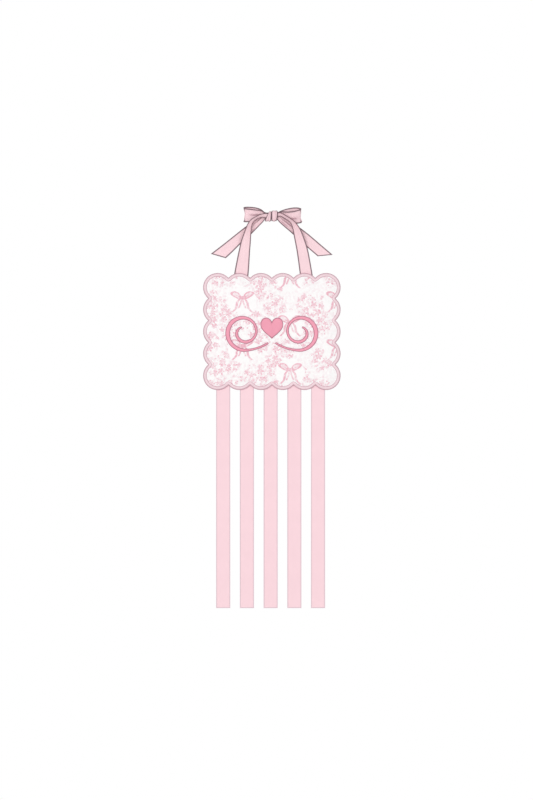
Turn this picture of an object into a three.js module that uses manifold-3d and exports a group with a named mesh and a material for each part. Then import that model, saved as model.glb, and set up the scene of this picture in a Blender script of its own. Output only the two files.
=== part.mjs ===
// Hair bow holder: a padded scalloped panel that hangs from two ribbons tied in a bow, with ribbon
// streamers below it for hair clips. Millimetres, +Z up, -Y towards the room and +Y towards the wall.
// The origin is the underside of the knot, where a hook or nail carries everything.
import * as THREE from 'three';
import Module from 'manifold-3d';
import { mergeVertices } from 'three/addons/utils/BufferGeometryUtils.js';

// Ribbon, one width and weight throughout
const ribbonWidth = 22.2;
const ribbonThickness = 0.6;

// Clearances
const pieceGap = 0.3;
const layerGap = 0.3;

// Scalloped outline: circles set along a rectangle, joined by small round valleys
const scallopsAcross = 6;
const scallopsDown = 5;
const scallopPitchX = 33.6;
const scallopPitchZ = 34.1;
const scallopRadius = 22.4;
const valleyRadius = 1;
const arcStep = Math.PI / 7.4;
const valleySteps = 2;

// Panel layers, from the ribbon layer in the middle
const coverThickness = 0.5;
const rimBatting = 1.2;
const crownBatting = 5.4;
const crownRun = 8.5;
const crownSteps = 2;
const boardThickness = 1.5;
const layerInset = 1.1;

// Edge band stitched over the rim
const bandWidth = 5.2;
const bandThickness = 0.7;
const bandEdgeRound = 1.2;

// Places, from the knot
const panelDrop = 79.7;
const panelShift = -2.7;
const strapSpacing = 99.4;
const streamerShift = -1.9;
const streamerPitch = 36.7;
const streamerCount = 5;
const streamerLength = 337.5;
const headLength = 24;

// Bow knot: a wrap round the middle, and the fold of the half knot beside it
const knotHeight = 17;
const knotDepth = 12;
const knotWall = 1.4;
const knotSquareness = 3.2;
const wrapWidth = 9;
const wrapShift = 0.9;
const foldTopWidth = 3.9;
const foldFootWidth = 9.4;
const foldHeight = 15.4;
const foldDepth = 11.4;
const knotSteps = 16;

// Half of a knot ring's section: shares of its width and of its wall
const knotSectionShares = [[0, 0], [0, 0.45], [0.2, 1], [0.8, 1], [1, 0.45], [1, 0]];

// Ribbons as they are gathered into the knot
const gatherShare = 0.45;
const pleatDepth = 1.3;
const pleatColumns = 4;
const strapStandOff = 5;
const loopDepth = 9.5;
const tailStandOff = 0.9;

// Steps from row to row of a ribbon, and the round ends at its joint lines
const rowSteps = 2;
const endSteps = 2;
const endSpan = Math.PI / 2.2;
const curveSegments = 8;

// The four ribbon layers inside the knot, front to back
const knotLayerShares = { strap: -1.5, tail: -0.5, loopFront: 0.5, loopBack: 1.5 };

// Bow, a little uneven as a hand ties it
const bowSides = {
  left: {
    side: -1, loopReach: 45.4, loopFrontRise: 1.6, loopBackRise: 5.9,
    tailAcross: 39.4, tailDown: 24.5, tailLength: 59.5, tailSlope: 38.8, tailSlant: 7,
    tailWidthShare: 0.9,
  },
  right: {
    side: 1, loopReach: 42.6, loopFrontRise: -1.6, loopBackRise: 6.4,
    tailAcross: 33.4, tailDown: 21.6, tailLength: 61.1, tailSlope: 40.4, tailSlant: 8.2,
    tailWidthShare: 0.76,
  },
};

// Rows along a strap after the knot: across, down, forward, width and pleat shares
const strapShares = {
  left: [
    [0.28, 0.059, 0.92, 0.42, 0.5],
    [0.535, 0.135, 1, 0.44, 0.9],
    [0.68, 0.22, 0.98, 0.5, 1],
    [0.766, 0.332, 0.88, 0.61, 0.9],
    [0.884, 0.601, 0.5, 0.79, 0.4],
    [1, 1, 0, 0.98, 0],
  ],
  right: [
    [0.233, 0.034, 0.85, 0.42, 0.5],
    [0.437, 0.095, 1, 0.43, 0.8],
    [0.59, 0.195, 1, 0.5, 1],
    [0.69, 0.293, 0.92, 0.6, 0.9],
    [0.887, 0.64, 0.5, 0.78, 0.4],
    [1, 1, 0, 0.92, 0],
  ],
};
const strapLevelShare = 0.72;

// A tail's gathered row on its way to the joint line, its width there, and its free rows
const tailGatherShares = { way: 0.35, width: 0.55, pleat: 0.4 };
const tailJointShare = 0.87;
const tailRowShares = [0.3, 0.7];

// Rows round a loop after the knot: reach, depth, rise, width and pleat shares
const loopShares = [
  [0.2, 0.12, 0.3, 0.58, 0.5],
  [0.45, 0.16, 0.6, 0.76, 0.6],
  [0.72, 0.1, 0.9, 0.9, 0.3],
  [0.9, 0.2, 1, 0.96, 0.1],
  [1, 0.54, 1, 0.98, 0],
  [0.9, 0.88, 1, 0.98, 0.1],
  [0.68, 0.98, 0.9, 0.94, 0.3],
  [0.4, 0.82, 0.6, 0.8, 0.6],
  [0.18, 0.5, 0.3, 0.62, 0.5],
];

// Raised ornament: a heart between two scrolls
const ornamentThickness = 0.9;
const ornamentDrop = 2.6;
const heartWidth = 34;
const heartHeight = 31;
const heartRise = 8;
const heartFootShare = -0.52;
const heartCurveShares = [
  [[0.12, -0.36], [0.5, -0.14], [0.5, 0.16]],
  [[0.5, 0.58], [0.08, 0.6], [0, 0.24]],
];
const scrollReach = 74;
const scrollStart = 6;
const scrollRadius = 28;
const scrollEye = 8.5;
const scrollLift = 11;
const scrollTurns = 1.42;
const scrollTighten = 1.15;
const scrollStroke = 6.2;
const scrollTip = 2;
const strokeSwellShares = { level: 0.62, wave: 0.38, lag: 0.12 };
const scrollRise = 1.5;
const scrollTailShare = 0.24;
const scrollSteps = 56;

// Colours
const BLUSH = 0xfad9df;
const SATIN = 0xf6d3da;
const BAND = 0xf0d0d8;
const COTTON = 0xfdf1f2;
const THREAD = 0xf5a9bd;
const WADDING = 0xf7f5f2;
const BOARD = 0xb9b2a8;

const wasm = await Module();
wasm.setup();

const cloth = (color) => new THREE.MeshStandardMaterial({ color, roughness: 0.85, metalness: 0 });
const satin = (color) => new THREE.MeshStandardMaterial({ color, roughness: 0.5, metalness: 0 });

const halfRibbon = ribbonThickness / 2;
const knotMiddle = knotHeight / 2;
const gatheredWidth = ribbonWidth * gatherShare;
const gatheredThickness = ribbonThickness / gatherShare;
const knotLayer = gatheredThickness + layerGap;

// The wrap's left side, and where the ribbons come out of the knot on each side
const wrapLeft = wrapShift - wrapWidth / 2;
const knotExit = {
  left: wrapLeft - pieceGap - foldFootWidth,
  right: wrapLeft + wrapWidth + pieceGap,
};

const panelHeight = (scallopsDown - 1) * scallopPitchZ + 2 * scallopRadius;
const panelTop = -panelDrop;
const panelFoot = panelTop - panelHeight;
const panelMiddle = (panelTop + panelFoot) / 2;

// Joint lines, just clear of the band's crests
const strapLine = panelTop + halfRibbon + 2 * pieceGap;
const streamerLine = panelFoot - halfRibbon - 2 * pieceGap;

// Layer faces, back to front
const coverBack = halfRibbon + boardThickness + coverThickness;
const rimFront = -(halfRibbon + rimBatting + coverThickness);
const plateauFront = -(halfRibbon + crownBatting + coverThickness);
const crownStart = bandWidth + pieceGap;

// Turns a mesh's faces outwards
function facingOut(geometry) {
  const index = geometry.index.array;
  const at = geometry.attributes.position;
  const [a, b, c] = [new THREE.Vector3(), new THREE.Vector3(), new THREE.Vector3()];
  let volume = 0;
  for (let k = 0; k < index.length; k += 3) {
    a.fromBufferAttribute(at, index[k]);
    b.fromBufferAttribute(at, index[k + 1]);
    c.fromBufferAttribute(at, index[k + 2]);
    volume += a.dot(b.cross(c));
  }
  if (volume < 0) {
    for (let k = 0; k < index.length; k += 3) {
      [index[k + 1], index[k + 2]] = [index[k + 2], index[k + 1]];
    }
  }
  geometry.computeVertexNormals();
  return geometry;
}

function bodyOf(points, triangles) {
  const geometry = new THREE.BufferGeometry();
  geometry.setAttribute('position', new THREE.Float32BufferAttribute(points.flat(), 3));
  geometry.setIndex(triangles);
  return facingOut(geometry);
}

function part(name, geometry, material) {
  const mesh = new THREE.Mesh(geometry, material);
  mesh.name = name;
  return mesh;
}

// Rings of equal count joined in order, the last one to the first
function ringBody(rings) {
  const count = rings[0].length;
  const triangles = [];
  for (let k = 0; k < rings.length; k += 1) {
    const from = k * count;
    const to = ((k + 1) % rings.length) * count;
    for (let j = 0; j < count; j += 1) {
      const next = (j + 1) % count;
      triangles.push(from + j, from + next, to + next, from + j, to + next, to + j);
    }
  }
  return bodyOf(rings.flat(), triangles);
}

// Scallop centres in order round the panel, bottom row first, about the panel's middle
function scallopCentres() {
  const centres = [];
  const x = (k) => (k - (scallopsAcross - 1) / 2) * scallopPitchX;
  const z = (k) => (k - (scallopsDown - 1) / 2) * scallopPitchZ;
  for (let k = 0; k < scallopsAcross; k += 1) centres.push([x(k), z(0)]);
  for (let k = 1; k < scallopsDown; k += 1) centres.push([x(scallopsAcross - 1), z(k)]);
  for (let k = scallopsAcross - 2; k >= 0; k -= 1) centres.push([x(k), z(scallopsDown - 1)]);
  for (let k = scallopsDown - 2; k > 0; k -= 1) centres.push([x(0), z(k)]);
  return centres;
}

// The outline's arcs: each scallop between the valleys before and after it, and each valley
function outlineArcs() {
  const centres = scallopCentres();
  const valleys = centres.map(([ax, az], k) => {
    const [bx, bz] = centres[(k + 1) % centres.length];
    const pitch = Math.hypot(bx - ax, bz - az);
    const rise = Math.sqrt((scallopRadius + valleyRadius) ** 2 - (pitch / 2) ** 2) / pitch;
    return [(ax + bx) / 2 + (bz - az) * rise, (az + bz) / 2 - (bx - ax) * rise];
  });
  const heading = (from, to) => Math.atan2(to[1] - from[1], to[0] - from[0]);
  return centres.map((centre, k) => {
    const before = valleys[(k + valleys.length - 1) % valleys.length];
    const after = valleys[k];
    const start = heading(centre, before);
    const span = (heading(centre, after) - start + 4 * Math.PI) % (2 * Math.PI);
    const valleyStart = heading(after, centre);
    const turn = heading(after, centres[(k + 1) % centres.length]) - valleyStart;
    const valleySpan = ((turn + 5 * Math.PI) % (2 * Math.PI)) - Math.PI;
    return { centre, start, span, valley: after, valleyStart, valleySpan };
  });
}

const arcs = outlineArcs();

// The outline drawn in by `inset`, at the depth y, with the same points in the same order each time
function outlineRing(inset, y) {
  const ring = [];
  const radius = scallopRadius - inset;
  for (const arc of arcs) {
    const steps = Math.ceil(arc.span / arcStep);
    for (let k = 0; k <= steps; k += 1) {
      const angle = arc.start + (arc.span * k) / steps;
      const [x, z] = arc.centre;
      ring.push([x + radius * Math.cos(angle), y, z + radius * Math.sin(angle)]);
    }
    for (let k = 1; k < valleySteps; k += 1) {
      const angle = arc.valleyStart + (arc.valleySpan * k) / valleySteps;
      const reach = valleyRadius + inset;
      const [x, z] = arc.valley;
      ring.push([x + reach * Math.cos(angle), y, z + reach * Math.sin(angle)]);
    }
  }
  return ring;
}

// A panel layer from its profile of [inset, y] pairs, closed by flat faces at both ends
function panelLayer(profile) {
  const rings = profile.map(([inset, y]) => outlineRing(inset, y));
  const count = rings[0].length;
  const points = rings.flat();
  const first = points.push([0, profile[0][1], 0]) - 1;
  const last = points.push([0, profile.at(-1)[1], 0]) - 1;
  const triangles = [];
  for (let k = 0; k < rings.length - 1; k += 1) {
    for (let j = 0; j < count; j += 1) {
      const [a, b] = [k * count + j, k * count + ((j + 1) % count)];
      triangles.push(a, b, b + count, a, b + count, a + count);
    }
  }
  const end = (rings.length - 1) * count;
  for (let j = 0; j < count; j += 1) {
    const next = (j + 1) % count;
    triangles.push(first, next, j, last, end + j, end + next);
  }
  return bodyOf(points, triangles);
}

// The crown from its flat middle out to the rim, as [inset, y] pairs
function crownProfile(rimY, middleY) {
  const pairs = [];
  for (let k = crownSteps; k >= 0; k -= 1) {
    const share = k / crownSteps;
    const rise = Math.sin((share * Math.PI) / 2);
    pairs.push([crownStart + crownRun * share, rimY + (middleY - rimY) * rise]);
  }
  return pairs;
}

function frontCover() {
  const inside = crownProfile(rimFront + coverThickness, plateauFront + coverThickness);
  const outside = crownProfile(rimFront, plateauFront).reverse();
  const edge = [[layerInset, rimFront + coverThickness], [layerInset, rimFront]];
  return panelLayer([...inside, ...edge, ...outside]);
}

function battingPad() {
  const rim = rimFront + coverThickness + pieceGap;
  const middle = plateauFront + coverThickness + pieceGap;
  const edge = layerInset + pieceGap;
  return panelLayer([[edge, -halfRibbon], [edge, rim], ...crownProfile(rim, middle).reverse()]);
}

function stiffenerBoard() {
  const inset = crownStart + pieceGap;
  return panelLayer([[inset, halfRibbon], [inset, halfRibbon + boardThickness]]);
}

// The back cover is a shallow tray: its folded hem stands round the board
function backCover() {
  const floor = halfRibbon + boardThickness;
  return panelLayer([
    [crownStart, floor], [crownStart, halfRibbon],
    [layerInset, halfRibbon], [layerInset, coverBack],
  ]);
}

// A flat piece between two depths, from a shape drawn in x and z
function flatPiece(shape, yFront, yBack) {
  const depth = yBack - yFront;
  const drawn = new THREE.ExtrudeGeometry(shape, { depth, bevelEnabled: false, curveSegments });
  const at = drawn.attributes.position;
  for (let k = 0; k < at.count; k += 1) {
    at.setXYZ(k, at.getX(k), yFront + at.getZ(k), at.getY(k));
  }
  return facingOut(bareMesh(drawn));
}

function bareMesh(geometry) {
  const bare = geometry.clone();
  bare.deleteAttribute('normal');
  bare.deleteAttribute('uv');
  return mergeVertices(bare);
}

function toSolid(geometry) {
  const bare = bareMesh(geometry);
  return new wasm.Manifold(new wasm.Mesh({
    numProp: 3,
    vertProperties: new Float32Array(bare.attributes.position.array),
    triVerts: new Uint32Array(bare.index.array),
  }));
}

function fromSolid(solid) {
  const mesh = solid.getMesh();
  const geometry = new THREE.BufferGeometry();
  geometry.setAttribute('position', new THREE.Float32BufferAttribute(mesh.vertProperties, 3));
  geometry.setIndex(Array.from(mesh.triVerts));
  return facingOut(geometry);
}

// Where each ribbon end lies inside the panel: middle at its joint line, lean, and the way it enters
const strapHeads = ['left', 'right'].map((name) => {
  const { side } = bowSides[name];
  const rows = strapShares[name];
  const exitX = knotExit[name];
  const headX = (side * strapSpacing) / 2;
  const [across, down] = rows.at(-2);
  const run = (headX - exitX) * (1 - across);
  const fall = (knotMiddle - strapLine) * (1 - down);
  const width = ribbonWidth * rows.at(-1)[3];
  return { name: `strap_head_${name}`, x: headX, z: strapLine, lean: run / fall, enters: -1, width };
});
const streamerHeads = Array.from({ length: streamerCount }, (_, k) => ({
  name: `streamer_head_${k + 1}`,
  x: panelShift + streamerShift + (k - (streamerCount - 1) / 2) * streamerPitch,
  z: streamerLine,
  lean: 0,
  enters: 1,
  width: ribbonWidth,
}));

// The outline of a ribbon end, grown all round by `grow`, about the panel's middle
function headShape(head, grow) {
  const near = head.z - panelMiddle + head.enters * (halfRibbon + pieceGap - grow);
  const far = head.z - panelMiddle + head.enters * (headLength + grow);
  const middle = head.x - panelShift;
  const half = head.width / 2 + grow;
  const shift = (z) => middle - head.lean * (z + panelMiddle - head.z);
  return new THREE.Shape([
    new THREE.Vector2(shift(near) - half, near),
    new THREE.Vector2(shift(near) + half, near),
    new THREE.Vector2(shift(far) + half, far),
    new THREE.Vector2(shift(far) - half, far),
  ]);
}

// The edge band wraps the rim, front to back, with a slot where each ribbon end comes out
function edgeBand() {
  const front = rimFront - bandThickness;
  const back = coverBack + bandThickness;
  const inner = layerInset - pieceGap;
  const profile = [
    [bandWidth, front], [inner, front], [0, front + bandEdgeRound], [0, back - bandEdgeRound],
    [inner, back], [bandWidth, back], [bandWidth, coverBack], [inner, coverBack],
    [inner, rimFront], [bandWidth, rimFront],
  ];
  const rings = profile.map(([inset, y]) => outlineRing(inset, y));
  let band = toSolid(ringBody(rings));
  for (const head of [...strapHeads, ...streamerHeads]) {
    const slot = flatPiece(headShape(head, pieceGap), -halfRibbon - pieceGap, halfRibbon + pieceGap);
    band = band.subtract(toSolid(slot));
  }
  return fromSolid(band);
}

// The heart goes up its right side by the curve shares and comes down its left side by them
function heart() {
  const at = (side, [x, z]) => new THREE.Vector2(side * heartWidth * x, heartHeight * z);
  const foot = [0, heartFootShare];
  const places = [foot, ...heartCurveShares.flat()];
  const backwards = places.slice(0, -1).reverse();
  const shape = new THREE.Shape();
  shape.moveTo(0, heartHeight * heartFootShare);
  for (const [side, way] of [[1, places.slice(1)], [-1, backwards]]) {
    for (let k = 0; k < way.length; k += 3) {
      const [a, b, c] = way.slice(k, k + 3).map((pair) => at(side, pair));
      shape.bezierCurveTo(a.x, a.y, b.x, b.y, c.x, c.y);
    }
  }
  return shape;
}

// The middle of a scroll's stroke: from under the heart outwards, then up and round into a curl
function scrollPoint(share, side) {
  const middleX = scrollReach - scrollRadius - scrollStroke / 2;
  if (share < scrollTailShare) {
    const along = share / scrollTailShare;
    const x = scrollStart + (middleX - scrollStart) * along;
    return [side * x, scrollRise - scrollRadius + scrollLift * (1 - along) ** 2];
  }
  const turn = (share - scrollTailShare) / (1 - scrollTailShare);
  const angle = 2 * Math.PI * scrollTurns * turn - Math.PI / 2;
  const radius = scrollRadius + (scrollEye - scrollRadius) * turn ** scrollTighten;
  return [side * (middleX + radius * Math.cos(angle)), scrollRise + radius * Math.sin(angle)];
}

// A stroke's width along it: thin at both ends, full as it rises and again in the curl
function strokeWidth(share) {
  const { level, wave, lag } = strokeSwellShares;
  const swell = Math.sin(Math.PI * share) * (level - wave * Math.cos(4 * Math.PI * (share - lag)));
  return scrollTip + (scrollStroke - scrollTip) * swell;
}

function scroll(side) {
  const edges = [[], []];
  const step = 0.5 / scrollSteps;
  for (let k = 0; k <= scrollSteps; k += 1) {
    const share = k / scrollSteps;
    const [x, z] = scrollPoint(share, side);
    const [ax, az] = scrollPoint(Math.max(0, share - step), side);
    const [bx, bz] = scrollPoint(Math.min(1, share + step), side);
    const half = strokeWidth(share) / 2 / Math.hypot(bx - ax, bz - az);
    edges[0].push(new THREE.Vector2(x - half * (bz - az), z + half * (bx - ax)));
    edges[1].push(new THREE.Vector2(x + half * (bz - az), z - half * (bx - ax)));
  }
  return new THREE.Shape([...edges[0], ...edges[1].reverse()]);
}

function ornamentPiece(name, shape, rise) {
  const piece = flatPiece(shape, plateauFront - ornamentThickness, plateauFront);
  piece.translate(0, 0, rise - ornamentDrop);
  return part(name, piece, satin(THREAD));
}

// A ribbon lofted along its rows. Each row has its middle, the way across it, its width and thickness
// there, and the depth of its lengthwise pleats.
function ribbonBody(rows) {
  const points = [];
  const count = 2 * (pleatColumns + 1);
  rows.forEach((row, k) => {
    const from = rows[Math.max(0, k - 1)].at;
    const to = rows[Math.min(rows.length - 1, k + 1)].at;
    const along = new THREE.Vector3().subVectors(to, from).normalize();
    const facing = new THREE.Vector3().crossVectors(along, row.across).normalize();
    const across = row.across;
    const front = [];
    const back = [];
    for (let j = 0; j <= pleatColumns; j += 1) {
      const share = (2 * j) / pleatColumns - 1;
      const pleat = row.pleat * Math.cos(2 * Math.PI * share);
      const middle = row.at.clone().addScaledVector(across, (share * row.width) / 2);
      front.push(middle.clone().addScaledVector(facing, pleat + row.thickness / 2).toArray());
      back.unshift(middle.clone().addScaledVector(facing, pleat - row.thickness / 2).toArray());
    }
    points.push(...front, ...back);
  });
  const triangles = [];
  for (let k = 0; k < rows.length - 1; k += 1) {
    for (let j = 0; j < count; j += 1) {
      const [a, b] = [k * count + j, k * count + ((j + 1) % count)];
      triangles.push(a, b, b + count, a, b + count, a + count);
    }
  }
  for (const [start, flip] of [[0, true], [(rows.length - 1) * count, false]]) {
    for (let j = 0; j < pleatColumns; j += 1) {
      const [a, b] = [start + j, start + j + 1];
      const [c, d] = [start + count - 2 - j, start + count - 1 - j];
      triangles.push(...(flip ? [a, c, b, a, d, c] : [a, b, c, a, c, d]));
    }
  }
  return bodyOf(points, triangles);
}

// Smooth rows through the given ones; `acrossAt` gives the way across a row
function smoothRows(rows, acrossAt) {
  const curve = new THREE.CatmullRomCurve3(rows.map((row) => row.at), false, 'centripetal');
  const steps = (rows.length - 1) * rowSteps;
  return Array.from({ length: steps + 1 }, (_, k) => {
    const low = Math.min(Math.floor(k / rowSteps), rows.length - 2);
    const share = k / rowSteps - low;
    const mix = (key) => rows[low][key] * (1 - share) + rows[low + 1][key] * share;
    const along = curve.getTangent(k / steps);
    const across = acrossAt(along, k / steps);
    const row = { at: curve.getPoint(k / steps), across, width: mix('width') };
    return { ...row, thickness: mix('thickness'), pleat: mix('pleat') };
  });
}

// Rounds a ribbon's last row off about a joint axis that runs along its end
function roundedEnd(rows) {
  const last = rows.at(-1);
  const along = new THREE.Vector3().subVectors(last.at, rows.at(-2).at).normalize();
  const ends = [];
  for (let k = 1; k <= endSteps; k += 1) {
    const angle = (k / endSteps) * endSpan;
    const at = last.at.clone().addScaledVector(along, halfRibbon * Math.sin(angle));
    ends.push({ ...last, at, thickness: ribbonThickness * Math.cos(angle) });
  }
  return [...rows, ...ends];
}

const flatAcross = (along) => new THREE.Vector3(-along.z, 0, along.x).normalize();
const place = (x, y, z) => new THREE.Vector3(x, y, z);
const gathered = { width: gatheredWidth, thickness: gatheredThickness, pleat: 0 };

// A strap runs from the knot, in front of everything, down to its joint line above the panel
function strap(name) {
  const { side } = bowSides[name];
  const exitX = knotExit[name];
  const y = knotLayer * knotLayerShares.strap;
  const headX = (side * strapSpacing) / 2;
  const rows = [
    { at: place(wrapShift + side * pieceGap, y, knotMiddle), ...gathered },
    { at: place(exitX, y, knotMiddle), ...gathered },
  ];
  for (const [across, down, forward, width, pleat] of strapShares[name]) {
    rows.push({
      at: place(
        exitX + (headX - exitX) * across,
        -strapStandOff * forward,
        knotMiddle + (strapLine - knotMiddle) * down,
      ),
      width: ribbonWidth * width,
      thickness: ribbonThickness,
      pleat: pleatDepth * pleat,
    });
  }
  const level = new THREE.Vector3(side, 0, 0);
  const body = smoothRows(rows, (along, share) => {
    const square = flatAcross(along);
    if (square.x * side < 0) square.negate();
    const levelling = Math.max(0, (share - strapLevelShare) / (1 - strapLevelShare));
    return square.lerp(level, levelling).normalize();
  });
  return ribbonBody(roundedEnd(body));
}

// A loop leaves the knot, turns at its reach and comes back behind itself
function loop(name) {
  const { side, loopReach, loopFrontRise, loopBackRise } = bowSides[name];
  const front = knotLayer * knotLayerShares.loopFront;
  const back = knotLayer * knotLayerShares.loopBack;
  const start = knotExit[name];
  const run = side * loopReach - start;
  const inside = wrapShift + side * pieceGap;
  const rows = [
    { at: place(inside, front, knotMiddle), ...gathered },
    { at: place(start, front, knotMiddle), ...gathered },
  ];
  loopShares.forEach(([reach, depth, rise, width, pleat], k) => {
    const backShare = k / (loopShares.length - 1);
    const lift = loopFrontRise * (1 - backShare) + loopBackRise * backShare;
    rows.push({
      at: place(start + run * reach, front + loopDepth * depth, knotMiddle + lift * rise),
      width: ribbonWidth * width,
      thickness: ribbonThickness,
      pleat: pleatDepth * pleat,
    });
  });
  rows.push({ at: place(start, back, knotMiddle), ...gathered });
  rows.push({ at: place(inside, back, knotMiddle), ...gathered });
  return ribbonBody(smoothRows(rows, () => place(0, 0, 1)));
}

// A tail's joint line: behind the strap, square to the tail
function tailJoint(name) {
  const { side, tailAcross, tailDown, tailSlope } = bowSides[name];
  const slope = THREE.MathUtils.degToRad(tailSlope);
  return {
    at: place(side * tailAcross, tailStandOff, knotMiddle - tailDown),
    along: place(side * Math.cos(slope), 0, -Math.sin(slope)),
  };
}

// The fixed start of a tail, from the knot to its joint line
function tailRoot(name) {
  const { side, tailWidthShare } = bowSides[name];
  const joint = tailJoint(name);
  const y = knotLayer * knotLayerShares.tail;
  const { way, width, pleat } = tailGatherShares;
  const start = place(knotExit[name], y, knotMiddle);
  const end = joint.at.clone().addScaledVector(joint.along, -halfRibbon - pieceGap);
  const near = start.clone().lerp(end, way);
  const endWidth = ribbonWidth * tailWidthShare * tailJointShare;
  const thickness = ribbonThickness;
  const rows = [
    { at: place(wrapShift + side * pieceGap, y, knotMiddle), ...gathered },
    { at: start, ...gathered },
    { at: near, width: ribbonWidth * width, thickness, pleat: pleatDepth * pleat },
    { at: end, width: endWidth, thickness, pleat: 0 },
  ];
  const body = smoothRows(rows, flatAcross);
  body.at(-1).across = flatAcross(joint.along);
  return ribbonBody(body);
}

// The free tail, from its joint line to its slanted end
function tail(name) {
  const { tailLength, tailSlant, tailWidthShare } = bowSides[name];
  const { at, along } = tailJoint(name);
  const across = flatAcross(along);
  const width = ribbonWidth * tailWidthShare;
  const full = { across, width, thickness: ribbonThickness, pleat: 0 };
  const start = { ...full, at, width: width * tailJointShare };
  const far = at.clone().addScaledVector(along, tailLength);
  const rows = tailRowShares.map((share) => ({ ...full, at: at.clone().lerp(far, share) }));
  const upward = across.z > 0 ? 1 : -1;
  const slanted = across.clone().multiplyScalar(width / 2).addScaledVector(along, upward * tailSlant);
  const end = { ...full, at: far, across: slanted.clone().normalize(), width: 2 * slanted.length() };
  const rounded = roundedEnd([rows[0], start]).slice(1).reverse();
  return ribbonBody([...rounded, ...rows, end]);
}

const softly = (wave) => Math.sign(wave) * Math.abs(wave) ** (2 / knotSquareness);

// A soft ring about the X axis; `edges` gives its left and right side at a height
function knotRing(depth, height, edges) {
  const rings = knotSectionShares.map(([side, out]) => Array.from({ length: knotSteps }, (_, k) => {
    const angle = (2 * Math.PI * k) / knotSteps;
    const reach = knotWall * (out - 1);
    const y = (depth / 2 + reach) * softly(Math.cos(angle));
    const z = (height / 2 + reach) * softly(Math.sin(angle));
    const [left, right] = edges(z);
    return [left + (right - left) * side, y, knotMiddle + z];
  }));
  return ringBody(rings);
}

function knotWrap() {
  return knotRing(knotDepth, knotHeight, () => [wrapLeft, wrapLeft + wrapWidth]);
}

function knotFold() {
  return knotRing(foldDepth, foldHeight, (z) => {
    const share = 0.5 - z / foldHeight;
    const width = foldTopWidth + (foldFootWidth - foldTopWidth) * share;
    return [wrapLeft - pieceGap - width, wrapLeft - pieceGap];
  });
}

// A streamer: flat ribbon with a round top edge on its joint line and a straight cut end
function streamer(x) {
  const shape = new THREE.Shape();
  shape.moveTo(-halfRibbon, 0);
  shape.lineTo(-halfRibbon, panelFoot - streamerLength - streamerLine);
  shape.lineTo(halfRibbon, panelFoot - streamerLength - streamerLine);
  shape.lineTo(halfRibbon, 0);
  shape.absarc(0, 0, halfRibbon, 0, Math.PI, false);
  const options = { depth: ribbonWidth, bevelEnabled: false, curveSegments };
  const drawn = new THREE.ExtrudeGeometry(shape, options);
  const at = drawn.attributes.position;
  for (let k = 0; k < at.count; k += 1) {
    at.setXYZ(k, x - ribbonWidth / 2 + at.getZ(k), at.getX(k), streamerLine + at.getY(k));
  }
  return facingOut(bareMesh(drawn));
}

const holder = new THREE.Group();

const hanger = new THREE.Group();
for (const name of ['left', 'right']) {
  hanger.add(part(`strap_${name}`, strap(name), satin(BLUSH)));
  hanger.add(part(`bow_loop_${name}`, loop(name), satin(SATIN)));
  hanger.add(part(`tail_root_${name}`, tailRoot(name), satin(BLUSH)));
  hanger.add(part(`bow_tail_${name}`, tail(name), satin(BLUSH)));
}
hanger.add(part('knot_wrap', knotWrap(), satin(SATIN)));
hanger.add(part('knot_fold', knotFold(), satin(SATIN)));
holder.add(hanger);

const panel = new THREE.Group();
panel.position.set(panelShift, 0, panelMiddle);
panel.add(part('front_cover', frontCover(), cloth(COTTON)));
panel.add(part('batting_pad', battingPad(), cloth(WADDING)));
panel.add(part('stiffener_board', stiffenerBoard(), cloth(BOARD)));
panel.add(part('back_cover', backCover(), cloth(COTTON)));
panel.add(part('edge_band', edgeBand(), satin(BAND)));
panel.add(ornamentPiece('scroll_left', scroll(-1), 0));
panel.add(ornamentPiece('scroll_right', scroll(1), 0));
panel.add(ornamentPiece('heart', heart(), heartRise));
for (const head of [...strapHeads, ...streamerHeads]) {
  const end = flatPiece(headShape(head, 0), -halfRibbon, halfRibbon);
  panel.add(part(head.name, end, satin(BLUSH)));
}
holder.add(panel);

for (const [k, head] of streamerHeads.entries()) {
  holder.add(part(`streamer_${k + 1}`, streamer(head.x), satin(BLUSH)));
}

export default holder;
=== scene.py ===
"""Looks of a hair bow holder: a padded scalloped panel hung by a tied ribbon bow, with ribbon streamers.

Metres, +Z up, -Y towards the room. The origin is the underside of the bow's knot.
"""

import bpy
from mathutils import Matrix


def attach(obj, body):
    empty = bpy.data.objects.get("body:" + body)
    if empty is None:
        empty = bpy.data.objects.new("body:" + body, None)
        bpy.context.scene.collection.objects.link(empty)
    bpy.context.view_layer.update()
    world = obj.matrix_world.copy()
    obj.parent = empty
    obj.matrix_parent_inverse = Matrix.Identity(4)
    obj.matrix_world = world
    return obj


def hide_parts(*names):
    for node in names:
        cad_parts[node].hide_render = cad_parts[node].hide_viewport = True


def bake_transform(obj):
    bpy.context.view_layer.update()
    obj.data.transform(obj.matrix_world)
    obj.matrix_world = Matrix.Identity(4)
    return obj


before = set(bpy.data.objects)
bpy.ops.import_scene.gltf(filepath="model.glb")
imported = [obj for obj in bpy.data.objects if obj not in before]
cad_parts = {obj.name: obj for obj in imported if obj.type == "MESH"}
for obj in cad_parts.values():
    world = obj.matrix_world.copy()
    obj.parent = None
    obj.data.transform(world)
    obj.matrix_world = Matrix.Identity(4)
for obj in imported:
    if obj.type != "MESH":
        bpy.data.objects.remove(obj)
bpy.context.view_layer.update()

import logging  # noqa: E402
import math  # noqa: E402
from dataclasses import dataclass, field  # noqa: E402
from enum import Enum  # noqa: E402
from typing import Callable, Sequence  # noqa: E402

import bmesh  # noqa: E402
import bpy  # noqa: E402
from mathutils import Vector  # noqa: E402
from mathutils.bvhtree import BVHTree  # noqa: E402

log = logging.getLogger("hair_bow_holder")

MM = 0.001
CLOTH_MAP = "cloth"
# The mesh attribute that carries painted shade in folds, creases and pleats
FOLD_SHADE = "fold"
WHITE = (1.0, 1.0, 1.0, 1.0)
Pair = tuple[float, float]
Colour = tuple[float, float, float]
Knot = tuple[float, float, float, float, float]
Edges = tuple[list[Pair], list[Pair]]


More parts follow.
